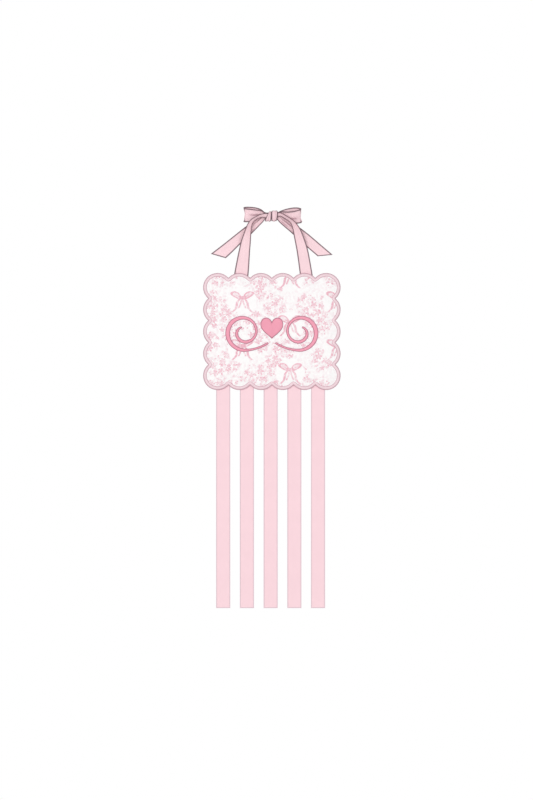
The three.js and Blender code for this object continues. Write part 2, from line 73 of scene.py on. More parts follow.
def mm(*values: float) -> Vector:
    """A point given in millimetres, as a vector in metres."""
    return Vector(values) * MM


def linear(colour: Colour) -> tuple[float, float, float, float]:
    """Turns a screen colour into the linear one that a shader takes.

    Args:
        colour: Red, green and blue from 0 to 255, as seen on a screen.

    Returns:
        Linear red, green and blue from 0 to 1, and an alpha of 1.
    """
    shares = [c / 255 for c in colour]
    return (*[s / 12.92 if s <= 0.04045 else ((s + 0.055) / 1.055) ** 2.4 for s in shares], 1.0)


def eased(share: float, start: float = 0.0, end: float = 1.0) -> float:
    """Goes smoothly from 0 at start to 1 at end."""
    t = min(1.0, max(0.0, (share - start) / (end - start)))
    return t * t * (3 - 2 * t)


def domed(share: float, fullness: float = 2.6) -> float:
    """The height of a cushioned cross-section at a share across, 0 at both sides and 1 between."""
    return math.sqrt(max(0.0, 1 - abs(2 * share - 1) ** fullness))


# Shader expressions


class Value:
    """A socket that carries a number, on which sums can be written."""

    def __init__(self, tree: "Tree", socket: bpy.types.NodeSocket) -> None:
        """Wraps a socket of a node in a tree."""
        self.tree = tree
        self.socket = socket

    def math(self, operation: str, *others: "Value | float") -> "Value":
        """Adds a Math node whose first value is this one."""
        return self.tree.number(operation, self, *others)

    def __add__(self, other: "Value | float") -> "Value":
        """This value plus another."""
        return self.math("ADD", other)

    __radd__ = __add__

    def __mul__(self, other: "Value | float") -> "Value":
        """This value times another."""
        return self.math("MULTIPLY", other)

    __rmul__ = __mul__

    def __sub__(self, other: "Value | float") -> "Value":
        """This value less another."""
        return self.math("SUBTRACT", other)

    def __rsub__(self, other: float) -> "Value":
        """A number less this value."""
        return self.tree.number("SUBTRACT", other, self)

    def __truediv__(self, other: "Value | float") -> "Value":
        """This value over another."""
        return self.math("DIVIDE", other)

    def __rtruediv__(self, other: float) -> "Value":
        """A number over this value."""
        return self.tree.number("DIVIDE", other, self)

    def __pow__(self, power: float) -> "Value":
        """This value to a power."""
        return self.math("POWER", power)

    def __abs__(self) -> "Value":
        """This value without its sign."""
        return self.math("ABSOLUTE")

    def sin(self) -> "Value":
        """The sine of this value in radians."""
        return self.math("SINE")

    def cos(self) -> "Value":
        """The cosine of this value in radians."""
        return self.math("COSINE")

    def root(self) -> "Value":
        """The square root of this value."""
        return self.math("SQRT")

    def waves(self, pitch: float) -> "Value":
        """Waves from 0 to 1 that repeat at a pitch along this value."""
        return (self * (math.tau / pitch)).sin() * 0.5 + 0.5

    def least(self, other: "Value | float") -> "Value":
        """The lesser of this value and another."""
        return self.math("MINIMUM", other)

    def most(self, other: "Value | float") -> "Value":
        """The greater of this value and another."""
        return self.math("MAXIMUM", other)

    def wrapped(self, low: float, high: float) -> "Value":
        """This value, repeated between low and high."""
        return self.math("WRAP", high, low)

    def eased(self, start: float, end: float) -> "Value":
        """Goes smoothly from 0 to 1.

        Args:
            start: This value where the result is 0.
            end: This value where the result is 1. It may be the smaller one.

        Returns:
            The eased value.
        """
        if start > end:
            return 1 - self.eased(end, start)
        settings = {"interpolation_type": "SMOOTHSTEP"}
        node = self.tree.node("ShaderNodeMapRange", settings, {0: self, 1: start, 2: end})
        return Value(self.tree, node.outputs[0])


class Tree:
    """The nodes of a material or of the world, every one of them made by one method."""

    SHEEN_ROUGHNESS = 0.4
    SHINE = 0.35

    def __init__(self, owner: bpy.types.Material | bpy.types.World) -> None:
        """Empties the nodes of their owner.

        Args:
            owner: The material or the world that the nodes belong to.
        """
        self.owner = owner
        owner.use_nodes = True
        self.nodes = owner.node_tree.nodes
        self.links = owner.node_tree.links
        self.nodes.clear()

    def node(self, kind: str, settings: dict, inputs: dict) -> bpy.types.Node:
        """Adds a node.

        Args:
            kind: The node's type.
            settings: Its settings, which are set first.
            inputs: Values or links by socket name or number.

        Returns:
            The new node.
        """
        node = self.nodes.new(kind)
        for key, value in settings.items():
            setattr(node, key, value)
        for key, value in inputs.items():
            if isinstance(value, Value):
                value = value.socket
            if isinstance(value, bpy.types.NodeSocket):
                self.links.new(value, node.inputs[key])
            else:
                node.inputs[key].default_value = value
        return node

    def number(self, operation: str, *values: "Value | float") -> Value:
        """Adds a Math node and gives its result."""
        node = self.node("ShaderNodeMath", {"operation": operation}, dict(enumerate(values)))
        return Value(self, node.outputs[0])

    def parts(self, vector: bpy.types.NodeSocket) -> tuple[Value, Value, Value]:
        """The three numbers of a vector."""
        node = self.node("ShaderNodeSeparateXYZ", {}, {0: vector})
        return tuple(Value(self, out) for out in node.outputs)

    def vector(self, x: "Value | float", y: "Value | float") -> bpy.types.NodeSocket:
        """A flat vector made of two numbers."""
        return self.node("ShaderNodeCombineXYZ", {}, {0: x, 1: y}).outputs[0]

    def mixed(self, share: "Value | float", first: object, second: object) -> bpy.types.NodeSocket:
        """A colour that goes from the first to the second by a share.

        Args:
            share: How much of the second it has, from 0 to 1.
            first: A linear colour or a socket that gives one.
            second: Another of these.

        Returns:
            The socket that gives the colour.
        """
        settings = {"data_type": "RGBA", "blend_type": "MIX"}
        node = self.node("ShaderNodeMix", settings, {0: share, 6: first, 7: second})
        return node.outputs[2]

    def noise(self, vector: bpy.types.NodeSocket, scale: float, detail: float = 2.0) -> Value:
        """Soft noise from 0 to 1, with as many spots to a metre as its scale."""
        inputs = {"Vector": vector, "Scale": scale, "Detail": detail}
        return Value(self, self.node("ShaderNodeTexNoise", {}, inputs).outputs[0])

    def cloth_places(self) -> tuple[Value, Value]:
        """How far across and along its cloth a place is, in metres."""
        uv = self.node("ShaderNodeUVMap", {"uv_map": CLOTH_MAP}, {}).outputs[0]
        return self.parts(uv)[:2]

    def object_places(self) -> bpy.types.NodeSocket:
        """The place on the object, in metres."""
        return self.node("ShaderNodeTexCoord", {}, {}).outputs["Object"]

    def attribute(self, name: str) -> Value:
        """A number that the mesh carries."""
        node = self.node("ShaderNodeAttribute", {"attribute_name": name}, {})
        return Value(self, node.outputs["Fac"])

    def finished(self, colour: object, roughness: "Value | float", height: Value | None = None,
                 bump: float = 0.0, sheen: float = 0.0, tint: Colour = (255, 255, 255)
                 ) -> bpy.types.Material:
        """Ends the material in one cloth shader.

        Args:
            colour: The base colour.
            roughness: How rough the surface is.
            height: The relief in metres, if there is any.
            bump: How strongly the relief shows.
            sheen: The strength of the soft light along the cloth's edges.
            tint: The colour of that light.

        Returns:
            The material.
        """
        inputs = {
            "Base Color": colour, "Roughness": roughness, "Sheen Weight": sheen,
            "Sheen Roughness": self.SHEEN_ROUGHNESS, "Sheen Tint": linear(tint),
            "Specular IOR Level": self.SHINE,
        }
        if height is not None:
            relief = {"Strength": bump, "Distance": 1.0, "Height": height}
            inputs["Normal"] = self.node("ShaderNodeBump", {}, relief).outputs[0]
        shader = self.node("ShaderNodeBsdfPrincipled", {}, inputs)
        self.node("ShaderNodeOutputMaterial", {}, {0: shader.outputs[0]})
        return self.owner


# Finishes


@dataclass(frozen=True)
class Finish:
    """A material's name and the colour of its face."""

    name: str
    face: Colour

    def tree(self) -> Tree:
        """The material's own nodes, none of them made yet."""
        return Tree(bpy.data.materials.new(self.name))


@dataclass(frozen=True)
class SatinRibbon(Finish):
    """Woven satin with a line along its edges, and painted shade in its folds and in its ribs' grooves,
    mapped from its edges in.
    """

    edge: Colour
    # The colour of the painted shade in folds, creases and rib grooves
    crease: Colour
    edge_width: float
    edge_share: float = 0.92
    crease_shade_share: float = 0.75
    rib: float = 0.42 * MM
    warp: float = 0.252 * MM
    rib_height: float = 0.04 * MM
    warp_height: float = 0.02 * MM
    edge_height: float = 0.12 * MM
    cloud_scale: float = 34.0
    roughness: float = 0.46

    def made(self) -> bpy.types.Material:
        """Builds the ribbon's material.

        Returns:
            The material.
        """
        tree = self.tree()
        across, along = tree.cloth_places()
        ribs, warp = along.waves(self.rib), across.waves(self.warp)
        cloudy = tree.noise(tree.vector(across, along), self.cloud_scale, detail=3.0)
        inset = across.least(along)
        selvedge = inset.eased(self.edge_width * 1.25, self.edge_width * 0.7)
        fold = tree.attribute(FOLD_SHADE)
        crease = linear(self.crease)
        colour = tree.mixed(cloudy.eased(0.3, 0.7) * 0.07, linear(self.face), crease)
        # Painted shade in the ribs' grooves, then in folds and creases by the fold shade attribute
        colour = tree.mixed(ribs * 0.03, colour, crease)
        colour = tree.mixed(fold * self.crease_shade_share, colour, crease)
        colour = tree.mixed(selvedge * self.edge_share, colour, linear(self.edge))
        height = ribs * self.rib_height + warp * self.warp_height + selvedge * self.edge_height
        roughness = self.roughness + 0.1 * cloudy + selvedge * 0.15
        return tree.finished(colour, roughness, height, bump=0.5, sheen=0.25, tint=self.face)


@dataclass(frozen=True)
class PlainCotton(Finish):
    """Plain woven cotton."""

    shade: Colour
    thread: float = 0.45 * MM
    thread_height: float = 0.03 * MM
    crossing_height: float = 0.04 * MM
    slub_scale: float = 420.0
    cloud_scale: float = 28.0
    roughness: float = 0.86

    def weave(self, tree: Tree) -> Value:
        """The relief of a plain weave, over and under by turns.

        Args:
            tree: The material's nodes.

        Returns:
            The relief in metres.
        """
        x, _, z = tree.parts(tree.object_places())
        turn = math.pi / self.thread
        warp, weft = (x * turn).sin(), (z * turn).sin()
        return (abs(warp) + abs(weft)) * self.thread_height + warp * weft * self.crossing_height

    def slubs(self, tree: Tree, places: bpy.types.NodeSocket) -> Value:
        """Where thicker threads show, from 0 to 1."""
        return tree.noise(places, self.slub_scale).eased(0.45, 0.75)

    def made(self) -> bpy.types.Material:
        """Builds the cotton's material.

        Returns:
            The material.
        """
        tree = self.tree()
        places = tree.object_places()
        share = self.slubs(tree, places) * 0.35 + tree.noise(places, self.cloud_scale) * 0.25
        colour = tree.mixed(share, linear(self.face), linear(self.shade))
        return tree.finished(colour, self.roughness, self.weave(tree), bump=0.6, sheen=0.2,
                             tint=self.face)


@dataclass(frozen=True)
class PrintedCotton(PlainCotton):
    """Cotton printed in soft pinks with sprays of blossoms and leaves, and tied bows among them.

    What is drawn is given in shares of its own size. Bows stand on a half-drop grid, and the rest is
    scattered.
    """

    roughness: float = 0.84
    pink: Colour = (236, 178, 193)
    pale: Colour = (241, 216, 223)
    bow_pitch: float = 74 * MM
    bow_size: float = 18.5 * MM
    bow_right_share: float = 0.12
    bow_up_share: float = 0.3
    spray_pitch: float = 36 * MM
    spray_reach: float = 20.5 * MM
    spray_ragged: float = 16 * MM
    ragged_scale: float = 150.0
    blossom_size: float = 5.0 * MM
    petals: int = 5
    leaf_size: float = 4.2 * MM
    vein_width: float = 0.4 * MM
    stem_scale: float = 85.0
    wash_scale: float = 300.0
    mottle_scale: float = 70.0
    small_shift: float = 0.37
    leaf_shift: float = 0.71
    stem_shift: float = 1.3
    middle: Pair = (-2.7 * MM, -170.3 * MM)

    @staticmethod
    def reach(x: Value, z: Value, wide: float = 1.0, high: float = 1.0) -> Value:
        """How far out a place lies from an ellipse's middle, 1 on its edge."""
        return ((x / wide) ** 2 + (z / high) ** 2).root()

    @staticmethod
    def turned(x: Value, z: Value, degrees: float) -> tuple[Value, Value]:
        """A place seen from axes turned by an angle."""
        c, s = math.cos(math.radians(degrees)), math.sin(math.radians(degrees))
        return x * c + z * s, z * c - x * s

    def bow_places(self, x: Value, z: Value) -> tuple[Value, Value]:
        """A place as seen from the nearest bow.

        Args:
            x: The place across.
            z: The place up.

        Returns:
            How far right and how far up it lies from the bow's middle, in shares of the bow's size.
        """
        pitch = self.bow_pitch
        column = (x / pitch + self.bow_right_share).math("FLOOR")
        drop = column.wrapped(0.0, 2.0) * (pitch * 0.5)
        u = (x + self.bow_right_share * pitch).wrapped(0.0, pitch) - pitch / 2
        w = (z + drop + self.bow_up_share * pitch).wrapped(0.0, pitch) - pitch / 2
        return u / self.bow_size, w / self.bow_size

    def bow(self, u: Value, w: Value) -> Value:
        """A tied bow with open loops and two tails a side.

        Args:
            u: How far right of its middle a place lies, in shares of its size.
            w: How far up it lies.

        Returns:
            How much ink lies there, from 0 to 1.
        """
        side = abs(u)
        lx, lz = self.turned(side - 0.5, w - 0.26, 30)
        out = self.reach(lx, lz + lx * lx * 0.35, 0.5, 0.25)
        loop = abs(out - 0.8).eased(0.29, 0.15).most(out.eased(1.0, 0.8) * 0.55)
        fx, fz = self.turned(side - 0.3, w - 0.12, 22)
        crease = self.reach(fx, fz, 0.26, 0.045).eased(1.2, 0.7)
        down = (w * -1.0 + 0.02).most(0.0)
        root = down.eased(0.0, 0.06)
        curl = down * 0.62 + 0.08 + (down * 5.2).sin() * 0.1
        long_tail = abs(side - curl).eased(0.13, 0.07) * root * (1 - down.eased(1.18, 1.26))
        hang = down * 0.24 + 0.05 - (down * 4.6).sin() * 0.05
        short_tail = abs(side - hang).eased(0.1, 0.05) * root * (1 - down.eased(0.86, 0.94))
        knot = self.reach(u, w, 0.18, 0.16).eased(1.15, 0.8)
        return loop.most(crease).most(long_tail * 0.9).most(short_tail * 0.85).most(knot)

    def scattered(self, tree: Tree, x: Value, z: Value, pitch: float
                  ) -> tuple[Value, Value, Value, Value]:
        """A place as seen from the nearest of many scattered points.

        Args:
            tree: The material's nodes.
            x: The place across.
            z: The place up.
            pitch: The points' mean spacing.

        Returns:
            The place from that point, and two random numbers that belong to it.
        """
        inputs = {"Vector": tree.vector(x, z), "Scale": 1 / pitch, "Randomness": 0.8}
        cell = tree.node("ShaderNodeTexVoronoi", {"voronoi_dimensions": "2D"}, inputs)
        first, second, _ = tree.parts(cell.outputs["Color"])
        cx, cz, _ = tree.parts(cell.outputs["Position"])
        return x - cx, z - cz, first, second

    def blossoms(self, tree: Tree, x: Value, z: Value, pitch: float, size: float) -> Value:
        """Blossoms with darker rims and pale eyes.

        Args:
            tree: The material's nodes.
            x: The place across.
            z: The place up.
            pitch: The blossoms' mean spacing.
            size: A blossom's mean radius.

        Returns:
            How much ink lies on the place, from 0 to 1.
        """
        dx, dz, first, second = self.scattered(tree, x, z, pitch)
        angle = dz.math("ARCTAN2", dx) + first * math.tau
        lobes = (angle * self.petals).cos() * 0.27 + 0.73
        out = self.reach(dx, dz) / (lobes * (0.72 + 0.4 * second) * size)
        rim = abs(out - 0.85).eased(0.3, 0.1)
        eye = out.eased(0.34, 0.2)
        veins = (angle * (3 * self.petals)).cos() * 0.5 + 0.5
        petal = out.eased(1.08, 0.9) * (0.42 + 0.3 * veins)
        return petal.most(rim * 0.95) * (1 - eye) + eye * 0.8

    def leaves(self, tree: Tree, x: Value, z: Value, pitch: float, size: float) -> Value:
        """Pointed leaves that lie all ways, each with a pale vein.

        Args:
            tree: The material's nodes.
            x: The place across.
            z: The place up.
            pitch: The leaves' mean spacing.
            size: Half a leaf's length.

        Returns:
            How much ink lies on the place, from 0 to 1.
        """
        dx, dz, first, second = self.scattered(tree, x, z, pitch)
        c, s = (first * math.tau).cos(), (first * math.tau).sin()
        lx, lz = dx * c + dz * s, abs(dz * c - dx * s)
        half = (1 - (lx / size) ** 2).most(0.0) * (size * 0.36)
        vein = self.vein_width
        blade = (lz - half).eased(vein * 0.875, vein * -0.5)
        return blade * (1 - 0.6 * lz.eased(vein, vein * 0.375)) * (0.55 + 0.45 * second)

    def ink(self, tree: Tree, x: Value, z: Value) -> Value:
        """All that is printed.

        Args:
            tree: The material's nodes.
            x: The place right of the panel's middle.
            z: The place above it.

        Returns:
            How much ink lies on the place, from 0 to 1.
        """
        u, w = self.bow_places(x, z)
        ragged = tree.noise(tree.vector(x, z), self.ragged_scale) - 0.5
        dx, dz, _, _ = self.scattered(tree, x, z, self.spray_pitch)
        spray = self.reach(dx, dz) + ragged * self.spray_ragged
        clear = (self.reach(u, w + 0.25, 1.2, 1.15) + ragged * 0.5).eased(0.92, 1.1)
        spray = spray.eased(self.spray_reach, self.spray_reach * 0.8) * clear
        size = self.blossom_size
        large = self.blossoms(tree, x, z, size * 2.3, size)
        small = self.blossoms(tree, x + self.small_shift, z, size * 1.35, size * 0.5)
        leaf = self.leaves(tree, x + self.leaf_shift, z, self.leaf_size * 1.7, self.leaf_size)
        branching = tree.noise(tree.vector(x + self.stem_shift, z), self.stem_scale, detail=1.0)
        stems = abs(branching - 0.5).eased(0.016, 0.006)
        fill = large.most(leaf * 0.85).most(small * 0.6).most(stems * 0.55)
        loose = leaf.most(small * 0.5) * 0.4 * clear
        return (fill * spray).most(loose).most(self.bow(u, w) * 0.95)

    def made(self) -> bpy.types.Material:
        """Builds the printed cotton's material.

        Returns:
            The material.
        """
        tree = self.tree()
        places = tree.object_places()
        x, _, z = tree.parts(places)
        ink = self.ink(tree, x - self.middle[0], z - self.middle[1])
        wash = tree.noise(places, self.wash_scale).eased(0.3, 0.6)
        mottle = tree.noise(places, self.mottle_scale)
        share = (ink * (0.55 + 0.45 * wash) * (0.6 + 0.75 * mottle)).least(1.0)
        slubs = self.slubs(tree, places) * 0.3
        colour = tree.mixed(slubs, linear(self.face), linear(self.shade))
        colour = tree.mixed((share * 1.15).least(1.0), colour, linear(self.pale))
        colour = tree.mixed(share.eased(0.35, 0.95), colour, linear(self.pink))
        return tree.finished(colour, self.roughness, self.weave(tree), bump=0.6, sheen=0.2,
                             tint=self.face)


@dataclass(frozen=True)
class StitchedThread(Finish):
    """Satin stitch: threads side by side across a band, with painted shade where they dive in at its
    edges and in the gaps between them.
    """

    # The colour of the painted shade
    edge: Colour
    half_width: float
    edge_width: float
    thread: float = 0.5 * MM
    thread_height: float = 0.12 * MM
    wobble_scale: float = 900.0
    middle_shade_line: float = 0.0

    def made(self) -> bpy.types.Material:
        """Builds the stitched material.

        Returns:
            The material.
        """
        tree = self.tree()
        across, along = tree.cloth_places()
        wobble = tree.noise(tree.vector(across, along), self.wobble_scale, detail=1.0) * 0.9
        threads = (along * (math.tau / self.thread) + wobble).sin() * 0.5 + 0.5
        inset = self.half_width - abs(across)
        # Painted shade along the band's edges, and along its middle when a middle line is given
        rim = inset.eased(self.edge_width * 1.3, self.edge_width * 0.5)
        if self.middle_shade_line:
            rim = rim.most(abs(across).eased(self.middle_shade_line * 1.2, self.middle_shade_line * 0.7))
        # Painted shade in the gaps between threads
        gaps = 1 - threads
        share = (gaps * 0.22 + rim * 0.85).least(1.0)
        colour = tree.mixed(share, linear(self.face), linear(self.edge))
        return tree.finished(colour, 0.42 + 0.2 * gaps, threads * self.thread_height, bump=0.7,
                             sheen=0.3, tint=self.face)


@dataclass(frozen=True)
class Board(Finish):
    """Grey pasteboard, hidden between the cloths."""

    name: str = "greyboard"
    face: Colour = (178, 171, 160)
    fleck: Colour = (140, 132, 122)
    fleck_height: float = 0.1 * MM
    fleck_scale: float = 700.0

    def made(self) -> bpy.types.Material:
        """Builds the board's material.

        Returns:
            The material.
        """
        tree = self.tree()
        flecks = tree.noise(tree.object_places(), self.fleck_scale, detail=4.0)
        colour = tree.mixed(flecks.eased(0.5, 0.7), linear(self.face), linear(self.fleck))
        return tree.finished(colour, 0.9, flecks * self.fleck_height, bump=0.4)


# Mesh building


@dataclass
class MeshDraft:
    """Points and faces of a piece, with each point's place on the flat cloth and its painted fold shade.
    """

    points: list[Vector] = field(default_factory=list)
    faces: list[tuple[int, ...]] = field(default_factory=list)
    cloth: list[Pair] = field(default_factory=list)
    fold_shades: list[float] = field(default_factory=list)

    def ring(self, points: Sequence[Vector], cloth: Sequence[Pair] = (),
             fold_shades: Sequence[float] = ()) -> None:
        """Adds a row of points.

        Args:
            points: Their places in metres.
            cloth: Their places on the flat cloth, all zero where it has no map.
            fold_shades: How much painted shade each one has, all zero where it has none.
        """
        self.points.extend(points)
        self.cloth.extend(cloth or [(0.0, 0.0)] * len(points))
        self.fold_shades.extend(fold_shades or [0.0] * len(points))

    def skin(self, rings: int, count: int, closed_rings: bool = False) -> None:
        """Joins rings of points, each closed on itself, with quads.

        Args:
            rings: How many rings there are.
            count: Points in each ring.
            closed_rings: Whether the last ring joins the first.
        """
        for k in range(rings if closed_rings else rings - 1):
            here, there = k * count, ((k + 1) % rings) * count
            for j in range(count):
                n = (j + 1) % count
                self.faces.append((here + j, here + n, there + n, there + j))

    def caps(self, rings: int, count: int) -> None:
        """Closes the first and the last ring with one face each."""
        for start in (0, (rings - 1) * count):
            self.faces.append(tuple(range(start, start + count)))

    def made(self, name: str, material: bpy.types.Material, sharp: float = 55) -> bpy.types.Object:
        """Builds the object, its faces turned outwards.

        Args:
            name: The piece's name.
            material: What it is made of.
            sharp: Edges that turn by more degrees than this stay sharp.

        Returns:
            The new object.
        """
        mesh = bpy.data.meshes.new(name)
        mesh.from_pydata([tuple(p) for p in self.points], [], self.faces)
        shade = mesh.attributes.new(FOLD_SHADE, "FLOAT", "POINT")
        shade.data.foreach_set("value", self.fold_shades)
        layer = mesh.uv_layers.new(name=CLOTH_MAP)
        for loop in mesh.loops:
            layer.data[loop.index].uv = self.cloth[loop.vertex_index]
        draft = bmesh.new()
        draft.from_mesh(mesh)
        bmesh.ops.recalc_face_normals(draft, faces=draft.faces)
        draft.to_mesh(mesh)
        draft.free()
        mesh.polygons.foreach_set("use_smooth", [True] * len(mesh.polygons))
        mesh.set_sharp_from_angle(angle=math.radians(sharp))
        mesh.materials.append(material)
        piece = bpy.data.objects.new(name, mesh)
        bpy.context.scene.collection.objects.link(piece)
        return piece


def slotted(piece: bpy.types.Object) -> None:
    """Reports a piece and its number of faces."""
    log.info("%s: %d faces", piece.name, len(piece.data.polygons))


def placed(piece: bpy.types.Object, body: str) -> None:
    """Lets a piece ride on one body and reports it."""
    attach(piece, body)
    slotted(piece)


def between(knots: Sequence[Sequence[float]], steps: int) -> list[list[float]]:
    """Smooth rows through knots, with as many steps in each stretch.

    Args:
        knots: Rows of numbers, of which the first three are a place.
        steps: Steps from a knot to the next.

    Returns:
        The rows, the knots among them.
    """
    times = [0.0]
    for a, b in zip(knots, knots[1:]):
        times.append(times[-1] + math.dist(a[:3], b[:3]) ** 0.5)
    slopes = []
    for k in range(len(knots)):
        low, high = max(0, k - 1), min(len(knots) - 1, k + 1)
        span = times[high] - times[low]
        if 0 < k < len(knots) - 1:
            before, after = times[k] - times[low], times[high] - times[k]
            slope = [
                ((b - a) / before * after + (c - b) / after * before) / span
                for a, b, c in zip(knots[low], knots[k], knots[high])
            ]
        else:
            slope = [(c - a) / span for a, c in zip(knots[low], knots[high])]
        slopes.append(slope)
    rows = []
    for k in range(len(knots) - 1):
        span = times[k + 1] - times[k]
        for step in range(steps):
            t = step / steps
            h00, h10 = 2 * t**3 - 3 * t**2 + 1, t**3 - 2 * t**2 + t
            h01, h11 = 3 * t**2 - 2 * t**3, t**3 - t**2
            rows.append([
                h00 * a + h10 * span * m + h01 * b + h11 * span * n
                for a, b, m, n in zip(knots[k], knots[k + 1], slopes[k], slopes[k + 1])
            ])
    return rows + [list(knots[-1])]


# Ribbons


@dataclass(frozen=True)
class Crease:
    """A lengthwise fold: where it lies across, its depth, its width, and where it starts and ends."""

    across: float
    depth: float
    width: float
    start: float
    end: float
    shade: float = 0.0
    fade: float = 0.12

    def at(self, v: float, share: float) -> float:
        """How fully the crease is there.

        Args:
            v: A place across, from -1 to 1.
            share: A place along, from 0 to 1.

        Returns:
            A share from 0 to 1.
        """
        here = eased(share, self.start, self.start + self.fade)
        here *= 1 - eased(share, self.end - self.fade, self.end)
        return here * math.exp(-(((v - self.across) / self.width) ** 2))


@dataclass(frozen=True)
class Station:
    """A place along a ribbon in millimetres, with the ribbon's ways there and how far along it is."""

    middle: Vector
    along: Vector
    across: Vector
    facing: Vector
    width: float
    pleat: float
    length: float
    full_length: float

    @property
    def share(self) -> float:
        """How far along the ribbon it lies, from 0 to 1."""
        return self.length / self.full_length


@dataclass(frozen=True)
class Ribbon:
    """A length of ribbon that follows knots of x, y, z, width and pleat depth, all in millimetres.

    Its creases and pleats are modelled, and the map of its cloth gives each place's distance from the
    nearer edge and from the end. Where it turns back at a share of its length, the edge colour is
    painted in a line on both sides of the turn, as painted shade of the fold.
    """

    name: str
    knots: Sequence[Knot]
    across: Callable[[Vector, float], Vector]
    creases: Sequence[Crease] = ()
    cloth_width: float = 22.2
    thickness: float = 0.5
    selvedge_share: float = 0.9
    selvedge_thicker: float = 1.25
    gather: float = 0.65
    slant: float = 0.0
    steps: int = 9
    columns: int = 30
    pleat_shade: float = 0.15
    turn_share: float = 0.0
    turn_shade_start: Pair = (1.3, 1.7)
    turn_shade_end: Pair = (2.6, 3.1)
    turn_shade_strength: float = 0.85

    def stations(self) -> list[Station]:
        """Works out the places along the ribbon. The first one faces the room, and all face alike.

        Returns:
            The places in order.
        """
        rows = between(self.knots, self.steps)
        middles = [Vector(row[:3]) for row in rows]
        lengths = [0.0]
        for a, b in zip(middles, middles[1:]):
            lengths.append(lengths[-1] + (b - a).length)
        stations = []
        sense = 0.0
        for k, row in enumerate(rows):
            along = (middles[min(k + 1, len(rows) - 1)] - middles[max(k - 1, 0)]).normalized()
            across = self.across(along, lengths[k] / lengths[-1])
            facing = across.cross(along).normalized()
            sense = sense or (1.0 if facing.y < 0 else -1.0)
            stations.append(Station(middles[k], along, across, facing * sense, *row[3:],
                                    lengths[k], lengths[-1]))
        return stations

    def made(self, material: bpy.types.Material) -> bpy.types.Object:
        """Builds the ribbon as one closed thin body.

        Args:
            material: What it is made of.

        Returns:
            The new object.
        """
        draft = MeshDraft()
        stations = self.stations()
        for station in stations:
            self.ring(draft, station)
        count = 2 * (self.columns + 1)
        draft.skin(len(stations), count)
        for start, sense in ((0, 1), ((len(stations) - 1) * count, -1)):
            for j in range(self.columns):
                quad = (start + j, start + j + 1, start + count - 2 - j, start + count - 1 - j)
                draft.faces.append(quad[::sense])
        return draft.made(self.name, material)

    def turn_shade_line(self, station: Station) -> float:
        """How fully the painted shade line beside the ribbon's turn is there.

        Args:
            station: A place along the ribbon.

        Returns:
            A share from 0 to 1.
        """
        if not self.turn_share:
            return 0.0
        away = abs(station.share - self.turn_share) * station.full_length
        return eased(away, *self.turn_shade_start) * (1 - eased(away, *self.turn_shade_end))

    def ring(self, draft: MeshDraft, station: Station) -> None:
        """Adds one ring round the ribbon, front then back.

        Args:
            draft: The mesh to add it to.
            station: Where it is.
        """
        share, pleat = station.share, station.pleat
        # The cloth map is squeezed near the turn so the edge colour spreads there as painted shade
        shown = 1 - self.turn_shade_strength * self.turn_shade_line(station)
        gathered = station.width ** self.gather * self.cloth_width ** (1 - self.gather)
        front, back, cloth, fold_shades = [], [], [], []
        for j in range(self.columns + 1):
            v = 2 * j / self.columns - 1
            lift = pleat * (math.cos(math.tau * v) * 0.8 + math.cos(2.5 * math.tau * v + 0.9) * 0.2)
            shade = self.pleat_shade * min(1.0, pleat) * (0.5 - 0.5 * math.cos(math.tau * v))
            for crease in self.creases:
                depth = crease.at(v, share)
                lift -= crease.depth * depth
                shade += crease.shade * depth
            lean = self.slant * v * (1 if station.across.z > 0 else -1)
            skew = lean * eased(share, 0.5, 1.0)
            place = (station.middle + station.across * (v * station.width / 2)
                     + station.facing * lift + station.along * skew)
            thicker = self.selvedge_thicker if abs(v) > self.selvedge_share else 1.0
            half = station.facing * (self.thickness / 2 * thicker)
            front.append((place + half) * MM)
            back.append((place - half) * MM)
            left = station.full_length + lean - station.length - skew
            cloth.append(((1 - abs(v)) / 2 * gathered * shown * MM, left * MM))
            fold_shades.append(min(1.0, max(0.0, shade)))
        draft.ring(front, cloth, fold_shades)
        draft.ring(back[::-1], cloth[::-1], fold_shades[::-1])


def square_across(along: Vector) -> Vector:
    """The way across a ribbon that faces the room, for its heading."""
    return Vector((-along.z, 0.0, along.x)).normalized()


class Side(Enum):
    """Left and right as seen from the room."""

    LEFT = "left"
    RIGHT = "right"

    @property
    def sign(self) -> int:
        """-1 on the left and 1 on the right."""
        return -1 if self is Side.LEFT else 1


@dataclass(frozen=True)
class BowSide:
    """One hanger ribbon's sizes in millimetres: its strap, and its half of the bow."""

    side: Side
    strap: Sequence[Knot]
    loop: Sequence[Knot]
    knot_exit: float
    tail_joint: Pair
    tail_slope: float
    tail_length: float
    tail_slant: float
    tail_widths: Sequence[float]
    tail_rises: Sequence[float]
    loop_creases: Sequence[Crease]
    strap_creases: Sequence[Crease]
    tail_creases: Sequence[Crease]

    @property
    def name(self) -> str:
        """The side's name, as it stands in the names of pieces and nodes."""
        return self.side.value


